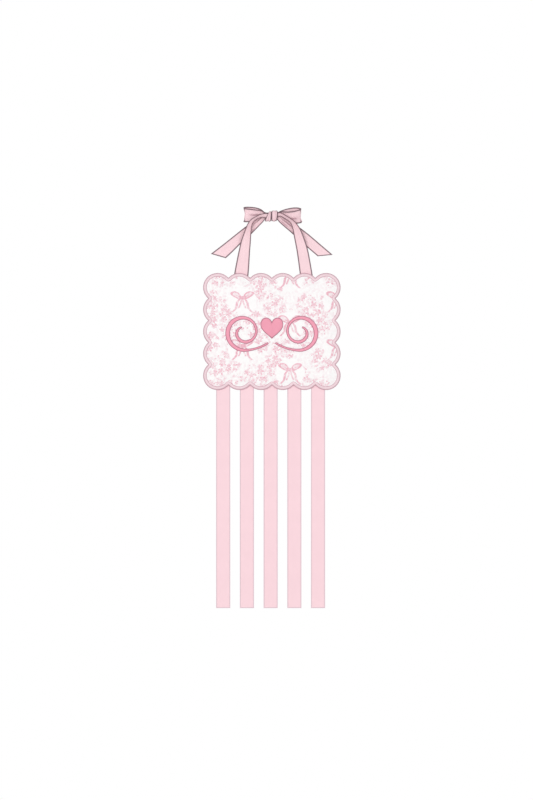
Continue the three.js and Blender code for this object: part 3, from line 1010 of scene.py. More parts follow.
LEFT_SIDE = BowSide(
    side=Side.LEFT,
    strap=(
        (0.6, -2.45, 8.5, 8.6, 0.3), (-13.3, -2.45, 9.0, 7.4, 0.5), (-18.8, -3.6, 8.6, 6.0, 0.7),
        (-26.7, -4.8, 5.2, 5.4, 0.8), (-33.6, -5.2, 0.2, 6.4, 0.8), (-37.2, -5.0, -6.5, 8.2, 0.9),
        (-39.3, -4.7, -14.4, 10.4, 0.9), (-41.1, -4.2, -22.3, 12.8, 0.7),
        (-42.7, -3.6, -30.2, 15.2, 0.5), (-45.2, -2.4, -46.0, 17.6, 0.2),
        (-49.6, 0.0, -78.8, 22.2, 0.0), (-52.4, 0.0, -101.0, 22.2, 0.0),
    ),
    loop=(
        (0.6, 0.82, 8.5, 9.4, 0.3), (-13.3, 0.82, 9.0, 10.5, 0.45), (-19.7, 1.9, 10.0, 15.5, 0.6),
        (-27.7, 2.3, 9.5, 18.6, 0.5), (-37.2, 1.8, 9.6, 20.8, 0.25), (-43.4, 2.7, 9.9, 21.8, 0.1),
        (-46.7, 5.95, 11.0, 22.2, 0.0), (-43.4, 9.2, 12.4, 22.0, 0.1), (-35.1, 10.1, 12.7, 21.4, 0.3),
        (-26.1, 8.6, 12.3, 19.6, 0.6), (-19.1, 5.6, 11.2, 15.8, 0.7), (-13.3, 2.45, 9.3, 10.5, 0.45),
        (0.6, 2.45, 8.5, 9.4, 0.3),
    ),
    knot_exit=-13.3,
    tail_joint=(-39.4, -16.0), tail_slope=38.8, tail_length=59.5, tail_slant=7.0,
    tail_widths=(11.0, 14.9, 15.9, 18.2, 20.2), tail_rises=(0.5, 1.5, 1.2, 0.3, -0.2),
    loop_creases=(
        Crease(0.02, 1.5, 0.2, 0.1, 0.44, 0.2), Crease(0.06, 0.4, 0.1, 0.1, 0.42, 1.3),
        Crease(0.05, 2.3, 0.6, 0.3, 0.66, 0.0),
        Crease(-0.5, 0.7, 0.16, 0.1, 0.28, 0.3),
        Crease(0.6, 0.6, 0.16, 0.1, 0.26, 0.3),
        Crease(-0.72, 0.8, 0.2, 0.34, 0.6, 0.1),
        Crease(0.2, 1.4, 0.25, 0.62, 0.92, 0.3),
    ),
    strap_creases=(
        Crease(-0.1, 0.6, 0.16, 0.1, 0.3, 0.7), Crease(0.45, 0.4, 0.14, 0.1, 0.26, 0.4),
        Crease(-0.72, 0.4, 0.2, 0.2, 0.4, 0.15),
    ),
    tail_creases=(
        Crease(-0.3, 0.9, 0.12, 0.1, 0.3, 0.8), Crease(0.35, 0.6, 0.11, 0.1, 0.26, 0.45),
        Crease(0.0, 0.3, 0.4, 0.42, 0.7, 0.0),
    ),
)

RIGHT_SIDE = BowSide(
    side=Side.RIGHT,
    strap=(
        (1.2, -2.45, 8.5, 8.6, 0.3), (5.7, -2.45, 10.2, 7.4, 0.5), (10.6, -3.6, 10.6, 6.0, 0.7),
        (17.5, -4.8, 7.2, 5.6, 0.8), (25.8, -5.2, 1.6, 6.2, 0.9), (30.4, -5.1, -3.0, 8.0, 1.0),
        (33.2, -5.0, -8.0, 10.0, 1.0), (36.0, -4.6, -14.6, 12.6, 0.8),
        (40.7, -3.6, -30.2, 15.8, 0.4), (44.6, -2.4, -46.0, 17.7, 0.2),
        (50.0, 0.0, -78.8, 19.6, 0.0), (53.2, 0.0, -101.0, 20.4, 0.0),
    ),
    loop=(
        (1.2, 0.82, 8.5, 9.4, 0.3), (5.7, 0.82, 9.0, 10.5, 0.45), (13.1, 1.9, 8.6, 14.5, 0.6),
        (22.3, 2.3, 6.7, 17.6, 0.6), (32.3, 1.8, 6.7, 19.8, 0.3), (38.9, 2.7, 7.8, 21.6, 0.1),
        (42.6, 5.95, 9.4, 22.0, 0.0), (38.9, 9.2, 11.2, 21.9, 0.1), (30.8, 10.1, 11.8, 21.2, 0.3),
        (20.5, 8.6, 11.2, 18.6, 0.6), (12.4, 5.6, 10.3, 14.5, 0.7), (5.7, 2.45, 9.0, 10.5, 0.45),
        (1.2, 2.45, 8.5, 9.4, 0.3),
    ),
    knot_exit=5.7,
    tail_joint=(33.4, -13.1), tail_slope=40.4, tail_length=61.1, tail_slant=8.2,
    tail_widths=(12.4, 14.7, 16.9, 16.9, 16.9), tail_rises=(0.0, 0.0, 0.0, 0.0, 0.0),
    loop_creases=(
        Crease(-0.2, 1.3, 0.22, 0.1, 0.46, 0.15), Crease(-0.24, 0.4, 0.1, 0.22, 0.46, 1.1),
        Crease(0.2, 0.4, 0.08, 0.1, 0.3, 1.1),
        Crease(-0.15, 0.7, 0.45, 0.3, 0.6, 0.1),
        Crease(0.42, 0.7, 0.16, 0.1, 0.26, 0.3),
        Crease(-0.75, -1.8, 0.22, 0.36, 0.62, 0.0),
        Crease(0.3, 1.4, 0.25, 0.62, 0.92, 0.3),
    ),
    strap_creases=(
        Crease(0.0, 0.6, 0.16, 0.04, 0.26, 0.75), Crease(0.5, 0.4, 0.14, 0.04, 0.2, 0.4),
        Crease(-0.7, 0.4, 0.2, 0.16, 0.36, 0.15),
    ),
    tail_creases=(
        Crease(0.15, 1.4, 0.16, 0.06, 0.4, 1.0), Crease(-0.45, 1.1, 0.13, 0.08, 0.34, 0.9),
        Crease(0.65, 0.8, 0.12, 0.08, 0.3, 0.6),
    ),
)


@dataclass(frozen=True)
class KnotRing:
    """A pleated ribbon wound once round the knot, in millimetres.

    Its edges are its left and right sides at a height above its middle, and its pleats are its relief
    at a share across and an angle round. Shade is painted at its rounded sides, on its inside and in its
    pleats' valleys, and the edge colour is painted in a line of shade where it turns over at the top and
    the foot.
    """

    name: str
    depth: float
    height: float
    middle: float
    edges: Callable[[float], Pair]
    pleats: Callable[[float, float], float]
    wall: float = 1.8
    inner_wall: float = 2.16
    inner_shares: Pair = (0.8, 0.2)
    inner_shade: float = 0.6
    side_shade: float = 0.9
    pleat_shade: float = 1.3
    around: int = 72
    columns: int = 22
    roundness: float = 3.0
    cloth_width: float = 14.0
    cloth_start: float = 5.0
    cloth_length: float = 46.0
    crest_shade_start: Pair = (0.86, 0.89)
    crest_shade_end: Pair = (0.95, 0.975)
    crest_shade_strength: float = 0.8

    def place(self, u: float, reach: float, out: float, up: float) -> Vector:
        """A point of the ring.

        Args:
            u: Its share across.
            reach: How far it lies outside the ring's plain depth and height.
            out: Where it lies between the back, -1, and the front, 1.
            up: Where it lies between the foot, -1, and the top, 1.

        Returns:
            The point in metres.
        """
        z = (self.height / 2 + reach) * up
        left, right = self.edges(z)
        return mm(left + (right - left) * u, -(self.depth / 2 + reach) * out, self.middle + z)

    def made(self, satin: bpy.types.Material) -> bpy.types.Object:
        """Builds the ring as one closed body.

        Args:
            satin: What it is made of.

        Returns:
            The new object.
        """
        draft = MeshDraft()
        for k in range(self.around):
            angle = math.tau * (k / self.around + 0.5)
            out, up = [math.copysign(abs(w) ** (2 / self.roundness), w)
                       for w in (math.cos(angle), math.sin(angle))]
            # Painted shade: the edge colour spreads in a line where the ring turns over at the top and
            # the foot
            line = eased(abs(up), *self.crest_shade_start) * (1 - eased(abs(up), *self.crest_shade_end))
            width = self.cloth_width * (1 - self.crest_shade_strength * line)
            along = self.cloth_start + min(k, self.around - k) / self.around * self.cloth_length
            points, cloth, fold_shades = [], [], []
            for j in range(self.columns + 1):
                u = j / self.columns
                crown = domed(u)
                relief = self.pleats(u, angle) * crown
                points.append(self.place(u, self.wall * (crown - 1) + relief, out, up))
                cloth.append((min(u, 1 - u) * width * MM, along * MM))
                # Painted shade at the rounded sides and in the pleats' valleys
                dark = (1 - crown) * self.side_shade + max(0.0, -relief) * self.pleat_shade
                fold_shades.append(min(1.0, dark))
            for u in self.inner_shares:
                points.append(self.place(u, -self.inner_wall, out, up))
                cloth.append((0.0, along * MM))
                fold_shades.append(self.inner_shade)
            draft.ring(points, cloth, fold_shades)
        draft.skin(self.around, self.columns + 1 + len(self.inner_shares), closed_rings=True)
        return draft.made(self.name, satin)


@dataclass(frozen=True)
class HangerBow:
    """The two hanger ribbons tied in a bow: straps, loops, tails and the knot, in millimetres."""

    sides: tuple[BowSide, BowSide] = (LEFT_SIDE, RIGHT_SIDE)
    knot_x: float = 0.9
    knot_middle: float = 8.5
    knot_height: float = 17.0
    knot_depth: float = 12.0
    knot_widths: Pair = (9.2, 9.6)
    knot_pleats: Pair = (0.3, 0.45)
    layer: float = 1.633
    wrap_left: float = -3.6
    wrap_width: float = 9.0
    wrap_left_lean: float = -0.02
    wrap_right_lean: float = 0.12
    wrap_belly: float = 0.8
    wrap_pleat: float = 0.34
    fold_gap: float = 0.1
    fold_top: float = 3.0
    fold_foot: float = 10.6
    fold_depth: float = 11.4
    fold_height: float = 16.0
    fold_drop: float = 0.6
    fold_pleat: float = 0.42
    strap_shade: float = 0.1
    strap_level_shares: Pair = (0.55, 0.8)
    loop_turn_share: float = 0.49
    loop_steps: int = 8
    tail_inside: float = 0.3
    tail_depth: float = 0.9
    tail_shade: float = 0.12
    tail_square_shares: Pair = (0.3, 0.5)
    tail_start_share: float = 0.33
    tail_shares: Sequence[float] = (0.0, 0.3, 0.65, 1.0)
    tail_pleats: Sequence[float] = (0.9, 0.25, 0.0, 0.0, 0.0)

    def strap(self, side: BowSide, satin: bpy.types.Material) -> None:
        """One strap, from the knot down to the panel and in behind its edge.

        Args:
            side: The side it belongs to.
            satin: What it is made of.
        """
        level = Vector((1.0, 0.0, 0.0))

        def across(along: Vector, share: float) -> Vector:
            """Square to the strap by the knot and level at the panel."""
            turned = eased(share, *self.strap_level_shares)
            return square_across(along).lerp(level, turned).normalized()

        strap = Ribbon(f"{side.name}_strap", side.strap, across, side.strap_creases,
                       pleat_shade=self.strap_shade).made(satin)
        x, _, z = side.strap[-2][:3]
        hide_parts(f"strap_{side.name}", f"strap_head_{side.name}")
        mm(x, 0, z + 7)
        mm(x, 0, z - 0.8)
        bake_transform(strap)
        slotted(strap)

    def loop(self, side: BowSide, satin: bpy.types.Material) -> None:
        """One loop, out from the knot and back behind itself.

        Args:
            side: The side it belongs to.
            satin: What it is made of.
        """
        up = Vector((0.0, 0.0, 1.0))
        loop = Ribbon(f"{side.name}_loop", side.loop, lambda along, share: up, side.loop_creases,
                      steps=self.loop_steps, turn_share=self.loop_turn_share).made(satin)
        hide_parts(f"bow_loop_{side.name}")
        placed(loop, "hanger")

    def tail(self, side: BowSide, satin: bpy.types.Material) -> None:
        """One tail, from the knot past its joint line to its slanted end.

        Args:
            side: The side it belongs to.
            satin: What it is made of.
        """
        x, z = side.tail_joint
        slope = math.radians(side.tail_slope)
        along = Vector((side.side.sign * math.cos(slope), 0.0, -math.sin(slope)))
        joint = Vector((x, self.tail_depth, z))
        inside = Vector((self.knot_x + side.side.sign * self.tail_inside, -self.layer / 2,
                         self.knot_middle))
        start = Vector((side.knot_exit, -self.layer / 2, self.knot_middle))
        square = square_across(along)
        up = square if square.z > 0 else -square
        places = [start.lerp(joint, self.tail_start_share)]
        places += [joint + along * side.tail_length * share for share in self.tail_shares]
        knots = [(*place, width, pleat) for place, width, pleat
                 in zip((inside, start), self.knot_widths, self.knot_pleats)]
        for place, width, rise, pleat in zip(places, side.tail_widths, side.tail_rises,
                                             self.tail_pleats):
            knots.append((*(place + up * rise), width, pleat))

        def across(heading: Vector, share: float) -> Vector:
            """Square to the tail, the same all along its free length."""
            turned = eased(share, *self.tail_square_shares)
            return square_across(heading).lerp(square, turned).normalized()

        tail = Ribbon(f"{side.name}_tail", knots, across, side.tail_creases,
                      slant=side.tail_slant, pleat_shade=self.tail_shade).made(satin)
        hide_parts(f"tail_root_{side.name}", f"bow_tail_{side.name}")
        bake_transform(tail)
        slotted(tail)

    def wrap_edges(self, z: float) -> Pair:
        """Where the wrap's edges are. It is fullest on the right.

        Args:
            z: The height above its middle.

        Returns:
            Its left and its right edge.
        """
        belly = self.wrap_belly * (1 - (2 * z / self.knot_height) ** 2)
        return (self.wrap_left + self.wrap_left_lean * z,
                self.wrap_left + self.wrap_width + self.wrap_right_lean * z + belly)

    def fold_edges(self, z: float) -> Pair:
        """Where the fold's edges are. It is narrow at the top and wide at the foot.

        Args:
            z: The height above its middle.

        Returns:
            Its left and its right edge.
        """
        edge = self.wrap_left - self.fold_gap
        share = 0.5 - z / self.fold_height
        return edge - self.fold_top - (self.fold_foot - self.fold_top) * share, edge

    def wrap_pleats(self, u: float, angle: float) -> float:
        """Two soft pleats that lean as they go round."""
        return self.wrap_pleat * math.cos(math.tau * (2.1 * u + 0.16 * math.sin(angle) + 0.1))

    def fold_pleats(self, u: float, angle: float) -> float:
        """One deeper fold and a lip along the foot."""
        return self.fold_pleat * math.cos(math.tau * (1.5 * u - 0.12 * math.sin(angle) - 0.3))

    def knot(self, satin: bpy.types.Material) -> None:
        """The wrap of the knot, and the half knot's fold beside it.

        Args:
            satin: What they are made of.
        """
        wrap = KnotRing("knot_band", self.knot_depth, self.knot_height, self.knot_middle,
                        self.wrap_edges, self.wrap_pleats).made(satin)
        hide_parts("knot_wrap")
        placed(wrap, "hanger")
        fold = KnotRing("knot_cross", self.fold_depth, self.fold_height,
                        self.knot_middle - self.fold_drop, self.fold_edges,
                        self.fold_pleats).made(satin)
        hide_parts("knot_fold")
        placed(fold, "hanger")

    def build(self, satin: bpy.types.Material) -> None:
        """Builds the whole bow and both straps.

        Args:
            satin: What they are made of.
        """
        for side in self.sides:
            self.tail(side, satin)
            self.loop(side, satin)
            self.strap(side, satin)
        self.knot(satin)


@dataclass(frozen=True)
class Streamers:
    """Five ribbons that hang from the panel's lower edge, in millimetres."""

    first: float = -78.0
    pitch: float = 36.7
    count: int = 5
    width: float = 21.8
    top: float = -238.0
    joint: float = -261.8
    foot: float = -598.4
    steps: int = 8
    columns: int = 16
    wave: float = 0.45
    wave_turn: float = 9.0
    wave_shift: float = 1.7
    wave_start_share: float = 0.3
    wave_shares: Sequence[float] = (0.1, 0.22, 0.35, 0.48, 0.6, 0.73, 0.86, 1.0)

    def build(self, satin: bpy.types.Material) -> None:
        """Builds the streamers, each with its end inside the panel and a slight wave below it.

        Args:
            satin: What they are made of.
        """
        level = Vector((1.0, 0.0, 0.0))
        drop = self.joint - self.foot
        for k in range(self.count):
            x = self.first + k * self.pitch
            places = [(0.0, self.top), (0.0, self.joint)]
            for share in self.wave_shares:
                sway = math.sin(share * self.wave_turn + k * self.wave_shift)
                sway *= self.wave * eased(share, 0.0, self.wave_start_share)
                places.append((sway, self.joint - drop * share))
            knots = [(x, y, z, self.width, 0.0) for y, z in places]
            ribbon = Ribbon(f"streamer_ribbon_{k + 1}", knots, lambda along, share: level,
                            columns=self.columns, steps=self.steps).made(satin)
            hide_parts(f"streamer_{k + 1}", f"streamer_head_{k + 1}")
            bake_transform(ribbon)
            slotted(ribbon)


# The panel


@dataclass(frozen=True)
class Outline:
    """The scalloped outline: circles set along a rectangle with small round valleys, in millimetres."""

    across: int = 6
    down: int = 5
    pitch_x: float = 33.6
    pitch_z: float = 34.1
    radius: float = 22.4
    valley: float = 1.0
    fan: float = 2.6
    pointed: float = 0.6
    valley_points: int = 8
    middle_x: float = -2.7
    middle_z: float = -170.3

    def centres(self) -> list[Pair]:
        """Places the scallops.

        Returns:
            Their centres in order round the panel, the bottom row first.
        """
        x = [(k - (self.across - 1) / 2) * self.pitch_x for k in range(self.across)]
        z = [(k - (self.down - 1) / 2) * self.pitch_z for k in range(self.down)]
        foot = [(value, z[0]) for value in x]
        right = [(x[-1], value) for value in z[1:]]
        top = [(value, z[-1]) for value in x[-2::-1]]
        left = [(x[0], value) for value in z[-2:0:-1]]
        return foot + right + top + left

    def arcs(self) -> list[tuple[Pair, float, float, int]]:
        """Works out the scallops' and the valleys' arcs.

        Returns:
            Each arc's centre, start angle, span and sense: 1 bulges out and -1 in.
        """
        centres = self.centres()
        valleys = []
        for k, (ax, az) in enumerate(centres):
            bx, bz = centres[(k + 1) % len(centres)]
            pitch = math.hypot(bx - ax, bz - az)
            rise = math.sqrt((self.radius + self.valley) ** 2 - (pitch / 2) ** 2) / pitch
            valleys.append(((ax + bx) / 2 + (bz - az) * rise, (az + bz) / 2 - (bx - ax) * rise))
        arcs = []
        for k, centre in enumerate(centres):
            before, after = valleys[k - 1], valleys[k]
            following = centres[(k + 1) % len(centres)]
            start = math.atan2(before[1] - centre[1], before[0] - centre[0])
            end = math.atan2(after[1] - centre[1], after[0] - centre[0])
            arcs.append((centre, start, (end - start) % math.tau, 1))
            start = math.atan2(centre[1] - after[1], centre[0] - after[0])
            end = math.atan2(following[1] - after[1], following[0] - after[0])
            arcs.append((after, start, (end - start + math.pi) % math.tau - math.pi, -1))
        return arcs

    def ring(self, inset: float, pitch: float, group: int = 1) -> list[tuple[float, float, float]]:
        """The outline drawn in by inset, with the same points in the same order each time.

        Args:
            inset: How far inside the outline it runs.
            pitch: The spacing of the points along the outline itself.
            group: Each arc has a whole number of groups of this many points.

        Returns:
            Each point's x and z on the object, and its distance along the outline.
        """
        points, length = [], 0.0
        for (cx, cz), start, span, sense in self.arcs():
            run = abs(span) * (self.radius if sense > 0 else self.valley + self.fan)
            least = 2 if sense > 0 else math.ceil(self.valley_points / group)
            steps = max(least, round(run / pitch / group)) * group
            for k in range(steps):
                angle = start + span * k / steps
                radius = self.radius - inset
                if sense < 0:
                    lean = (0.5 - abs(k / steps - 0.5)) * abs(span) * self.pointed
                    radius = (self.valley + inset) / math.cos(lean)
                points.append((self.middle_x + cx + radius * math.cos(angle),
                               self.middle_z + cz + radius * math.sin(angle),
                               length + run * k / steps))
            length += run
        return points

    def inset_of(self, x: float, z: float) -> float:
        """How far inside the outline a place lies, to within the valleys' roundness."""
        dx, dz = x - self.middle_x, z - self.middle_z
        return max(self.radius - math.hypot(dx - cx, dz - cz) for cx, cz in self.centres())

    def inside_core(self, x: float, z: float) -> bool:
        """Whether a place lies in the rectangle through the scallops' centres."""
        half_x, half_z = (self.across - 1) / 2 * self.pitch_x, (self.down - 1) / 2 * self.pitch_z
        return abs(x - self.middle_x) < half_x and abs(z - self.middle_z) < half_z


@dataclass(frozen=True)
class Wadding:
    """How the panel's front is swelled: its grid in millimetres, and the settings of its cloth."""

    voxel: float = 1.6
    most_move: float = 0.7
    held_behind: float = -1.2
    held_past: float = 0.6
    quality: int = 5
    mass: float = 0.15
    stiffness: float = 12.0
    bending: float = 0.4
    pressure: float = 4.0
    frames: int = 20
    smoothings: int = 12

    def swell(self, piece: bpy.types.Object, held: Sequence[int]) -> None:
        """Lets Blender's cloth swell the piece, and keeps each point near its start.

        Args:
            piece: The piece.
            held: The numbers of the points that stay in place.
        """
        before = [v.co.copy() for v in piece.data.vertices]
        piece.vertex_groups.new(name="held").add(held, 1.0, "REPLACE")
        cloth = piece.modifiers.new("swell", "CLOTH")
        cloth.settings.quality = self.quality
        cloth.settings.mass = self.mass
        cloth.settings.tension_stiffness = self.stiffness
        cloth.settings.compression_stiffness = self.stiffness
        cloth.settings.bending_stiffness = self.bending
        cloth.settings.use_pressure = True
        cloth.settings.uniform_pressure_force = self.pressure
        cloth.settings.vertex_group_mass = "held"
        cloth.settings.effector_weights.gravity = 0
        cloth.collision_settings.use_collision = False
        for number in range(1, self.frames + 1):
            bpy.context.scene.frame_set(number)
        apply_modifiers(piece)
        bpy.context.scene.frame_set(1)
        most = self.most_move * MM
        for v, start in zip(piece.data.vertices, before):
            move = v.co - start
            if move.length > most:
                v.co = start + move.normalized() * most


@dataclass(frozen=True)
class PaddedPanel:
    """The printed front over its wadding, the stitched edge and the back, in millimetres."""

    outline: Outline = Outline()
    wadding: Wadding = Wadding()
    rim_front: float = -2.1
    crown: float = -6.0
    crown_start: float = 5.5
    crown_run: float = 13.0
    crown_shares: Sequence[float] = (0.33, 0.66, 1.0)
    core_inset: float = 40.0
    front_pitch: float = 2.0
    back_pitch: float = 1.2
    band_width: float = 5.7
    band_back: float = 2.3
    band_middle: float = 0.15
    stitch_pitch: float = 0.36
    stitch_points: int = 3
    stitch_ridge: float = 0.07
    stitch_valley: float = 0.03

    def tray(self, name: str, profile: Sequence[Pair], pitch: float, cotton: bpy.types.Material,
             sharp: float = 55) -> bpy.types.Object:
        """A closed form whose rings follow the outline.

        Args:
            name: The piece's name.
            profile: Each ring's inset and depth, from one flat end to the other.
            pitch: The spacing of a ring's points.
            cotton: What it is made of.
            sharp: Edges that turn by more degrees than this stay sharp.

        Returns:
            The new object.
        """
        draft = MeshDraft()
        rings = [self.outline.ring(inset, pitch) for inset, _ in profile]
        for ring, (_, y) in zip(rings, profile):
            draft.ring([mm(x, y, z) for x, z, _ in ring])
        draft.skin(len(rings), len(rings[0]))
        draft.caps(len(rings), len(rings[0]))
        return draft.made(name, cotton, sharp)

    def front(self, cotton: bpy.types.Material) -> bpy.types.Object:
        """The padded front: swelled by a cloth simulation that holds its rim and its back.

        Args:
            cotton: What it is made of.

        Returns:
            The new object.
        """
        profile = [(1.2, -0.3), (1.2, self.rim_front), (self.crown_start, self.rim_front - 0.1)]
        for share in self.crown_shares:
            rise = math.sin(share * math.pi / 2)
            profile.append((self.crown_start + self.crown_run * share,
                            self.rim_front + (self.crown - self.rim_front) * rise))
        piece = self.tray("padded_front", profile, self.front_pitch, cotton)
        bpy.context.view_layer.objects.active = piece
        remesh = piece.modifiers.new("grid", "REMESH")
        remesh.mode = "VOXEL"
        remesh.voxel_size = self.wadding.voxel * MM
        apply_modifiers(piece)
        self.wadding.swell(piece, self.held(piece))
        smooth = piece.modifiers.new("smooth", "SMOOTH")
        smooth.iterations = self.wadding.smoothings
        apply_modifiers(piece)
        piece.data.polygons.foreach_set("use_smooth", [True] * len(piece.data.polygons))
        return piece

    def held(self, piece: bpy.types.Object) -> list[int]:
        """Finds what the rim and the board hold in place.

        Args:
            piece: The front.

        Returns:
            The numbers of those of its points.
        """
        held = []
        for v in piece.data.vertices:
            x, y, z = v.co / MM
            inset = self.outline.inset_of(x, z)
            deep = self.core_inset if self.outline.inside_core(x, z) else inset
            if y > self.wadding.held_behind or deep < self.crown_start + self.wadding.held_past:
                held.append(v.index)
        return held

    def edge_face(self) -> tuple[list[Pair], list[float]]:
        """The stitches' way over the edge, from the front round the rim to the back.

        Returns:
            Its insets and depths, and the length up to each.
        """
        front, back, wide = self.rim_front, self.band_back, self.band_width
        face = [
            (wide, front + 0.2), (wide - 0.05, front - 0.35), (wide - 0.6, front - 0.72),
            (wide - 1.8, front - 0.86), (2.1, front - 0.8), (1.1, front - 0.55),
            (0.4, front + 0.05), (0.06, front + 0.9), (0.0, self.band_middle), (0.06, back - 1.2),
            (0.4, back - 0.2), (1.1, back + 0.35), (2.1, back + 0.62), (wide - 1.8, back + 0.68),
            (wide - 0.6, back + 0.5), (wide - 0.05, back + 0.2), (wide, back - 0.1),
        ]
        lengths = [0.0]
        for a, b in zip(face, face[1:]):
            lengths.append(lengths[-1] + math.dist(a, b))
        return face, lengths

    def edge(self, thread: bpy.types.Material) -> bpy.types.Object:
        """The satin-stitched edge, thread by thread, closed by a plain lining inside.

        Args:
            thread: What it is made of.

        Returns:
            The new object.
        """
        front, back = self.rim_front + 0.3, self.band_back - 0.25
        face, lengths = self.edge_face()
        lining = [(4.9, back), (1.4, back), (1.4, front), (4.9, front)]
        half = lengths[-1] / 2
        rings = {inset: self.outline.ring(inset, self.stitch_pitch, group=self.stitch_points)
                 for inset, _ in face + lining}
        stitches = len(rings[0.0])
        draft = MeshDraft()
        for j in range(stitches):
            ridge = self.stitch_valley if j % self.stitch_points else self.stitch_ridge
            points, cloth = [], []
            for (inset, y), length in zip(face, lengths):
                x, z, along = rings[inset][j]
                out = ridge if 0 < length < lengths[-1] else 0.0
                points.append(mm(x, y + math.copysign(out, y - self.band_middle), z))
                cloth.append(((half - length) * MM, along * MM))
            for inset, y in lining:
                x, z, along = rings[inset][j]
                points.append(mm(x, y, z))
                cloth.append((half * MM, along * MM))
            draft.ring(points, cloth)
        draft.skin(stitches, len(face) + len(lining), closed_rings=True)
        return draft.made("stitched_edge", thread)

    def back(self, cotton: bpy.types.Material) -> bpy.types.Object:
        """The plain back cover: a shallow tray round the board, with its folded hem.

        Args:
            cotton: What it is made of.

        Returns:
            The new object.
        """
        profile = [(7.0, 1.8), (5.5, 1.8), (5.5, 0.35), (1.3, 0.35), (1.1, 0.6), (1.1, 2.1),
                   (1.4, 2.3), (6.5, 2.3), (8.0, 2.3)]
        return self.tray("cotton_back", profile, self.back_pitch, cotton, sharp=35)

    def build(self, printed: bpy.types.Material, plain: bpy.types.Material,
              edge: bpy.types.Material, board: bpy.types.Material) -> bpy.types.Object:
        """Builds the panel's cloths.

        Args:
            printed: The front's cotton.
            plain: The back's cotton.
            edge: The thread of the edge.
            board: What stiffens the panel.

        Returns:
            The front, which the embroidery lies on.
        """
        front = self.front(printed)
        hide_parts("front_cover", "batting_pad")
        placed(front, "panel")
        rim = self.edge(edge)
        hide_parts("edge_band")
        placed(rim, "panel")
        back = self.back(plain)
        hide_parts("back_cover")
        placed(back, "panel")
        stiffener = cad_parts["stiffener_board"]
        stiffener.data.materials.clear()
        stiffener.data.materials.append(board)
        return front


def apply_modifiers(piece: bpy.types.Object) -> None:
    """Replaces a piece's mesh by what its modifiers make of it.

    Args:
        piece: The piece.
    """
    graph = bpy.context.evaluated_depsgraph_get()
    mesh = bpy.data.meshes.new_from_object(piece.evaluated_get(graph), depsgraph=graph)
    old = piece.data
    piece.modifiers.clear()
    piece.data = mesh
    bpy.data.meshes.remove(old)


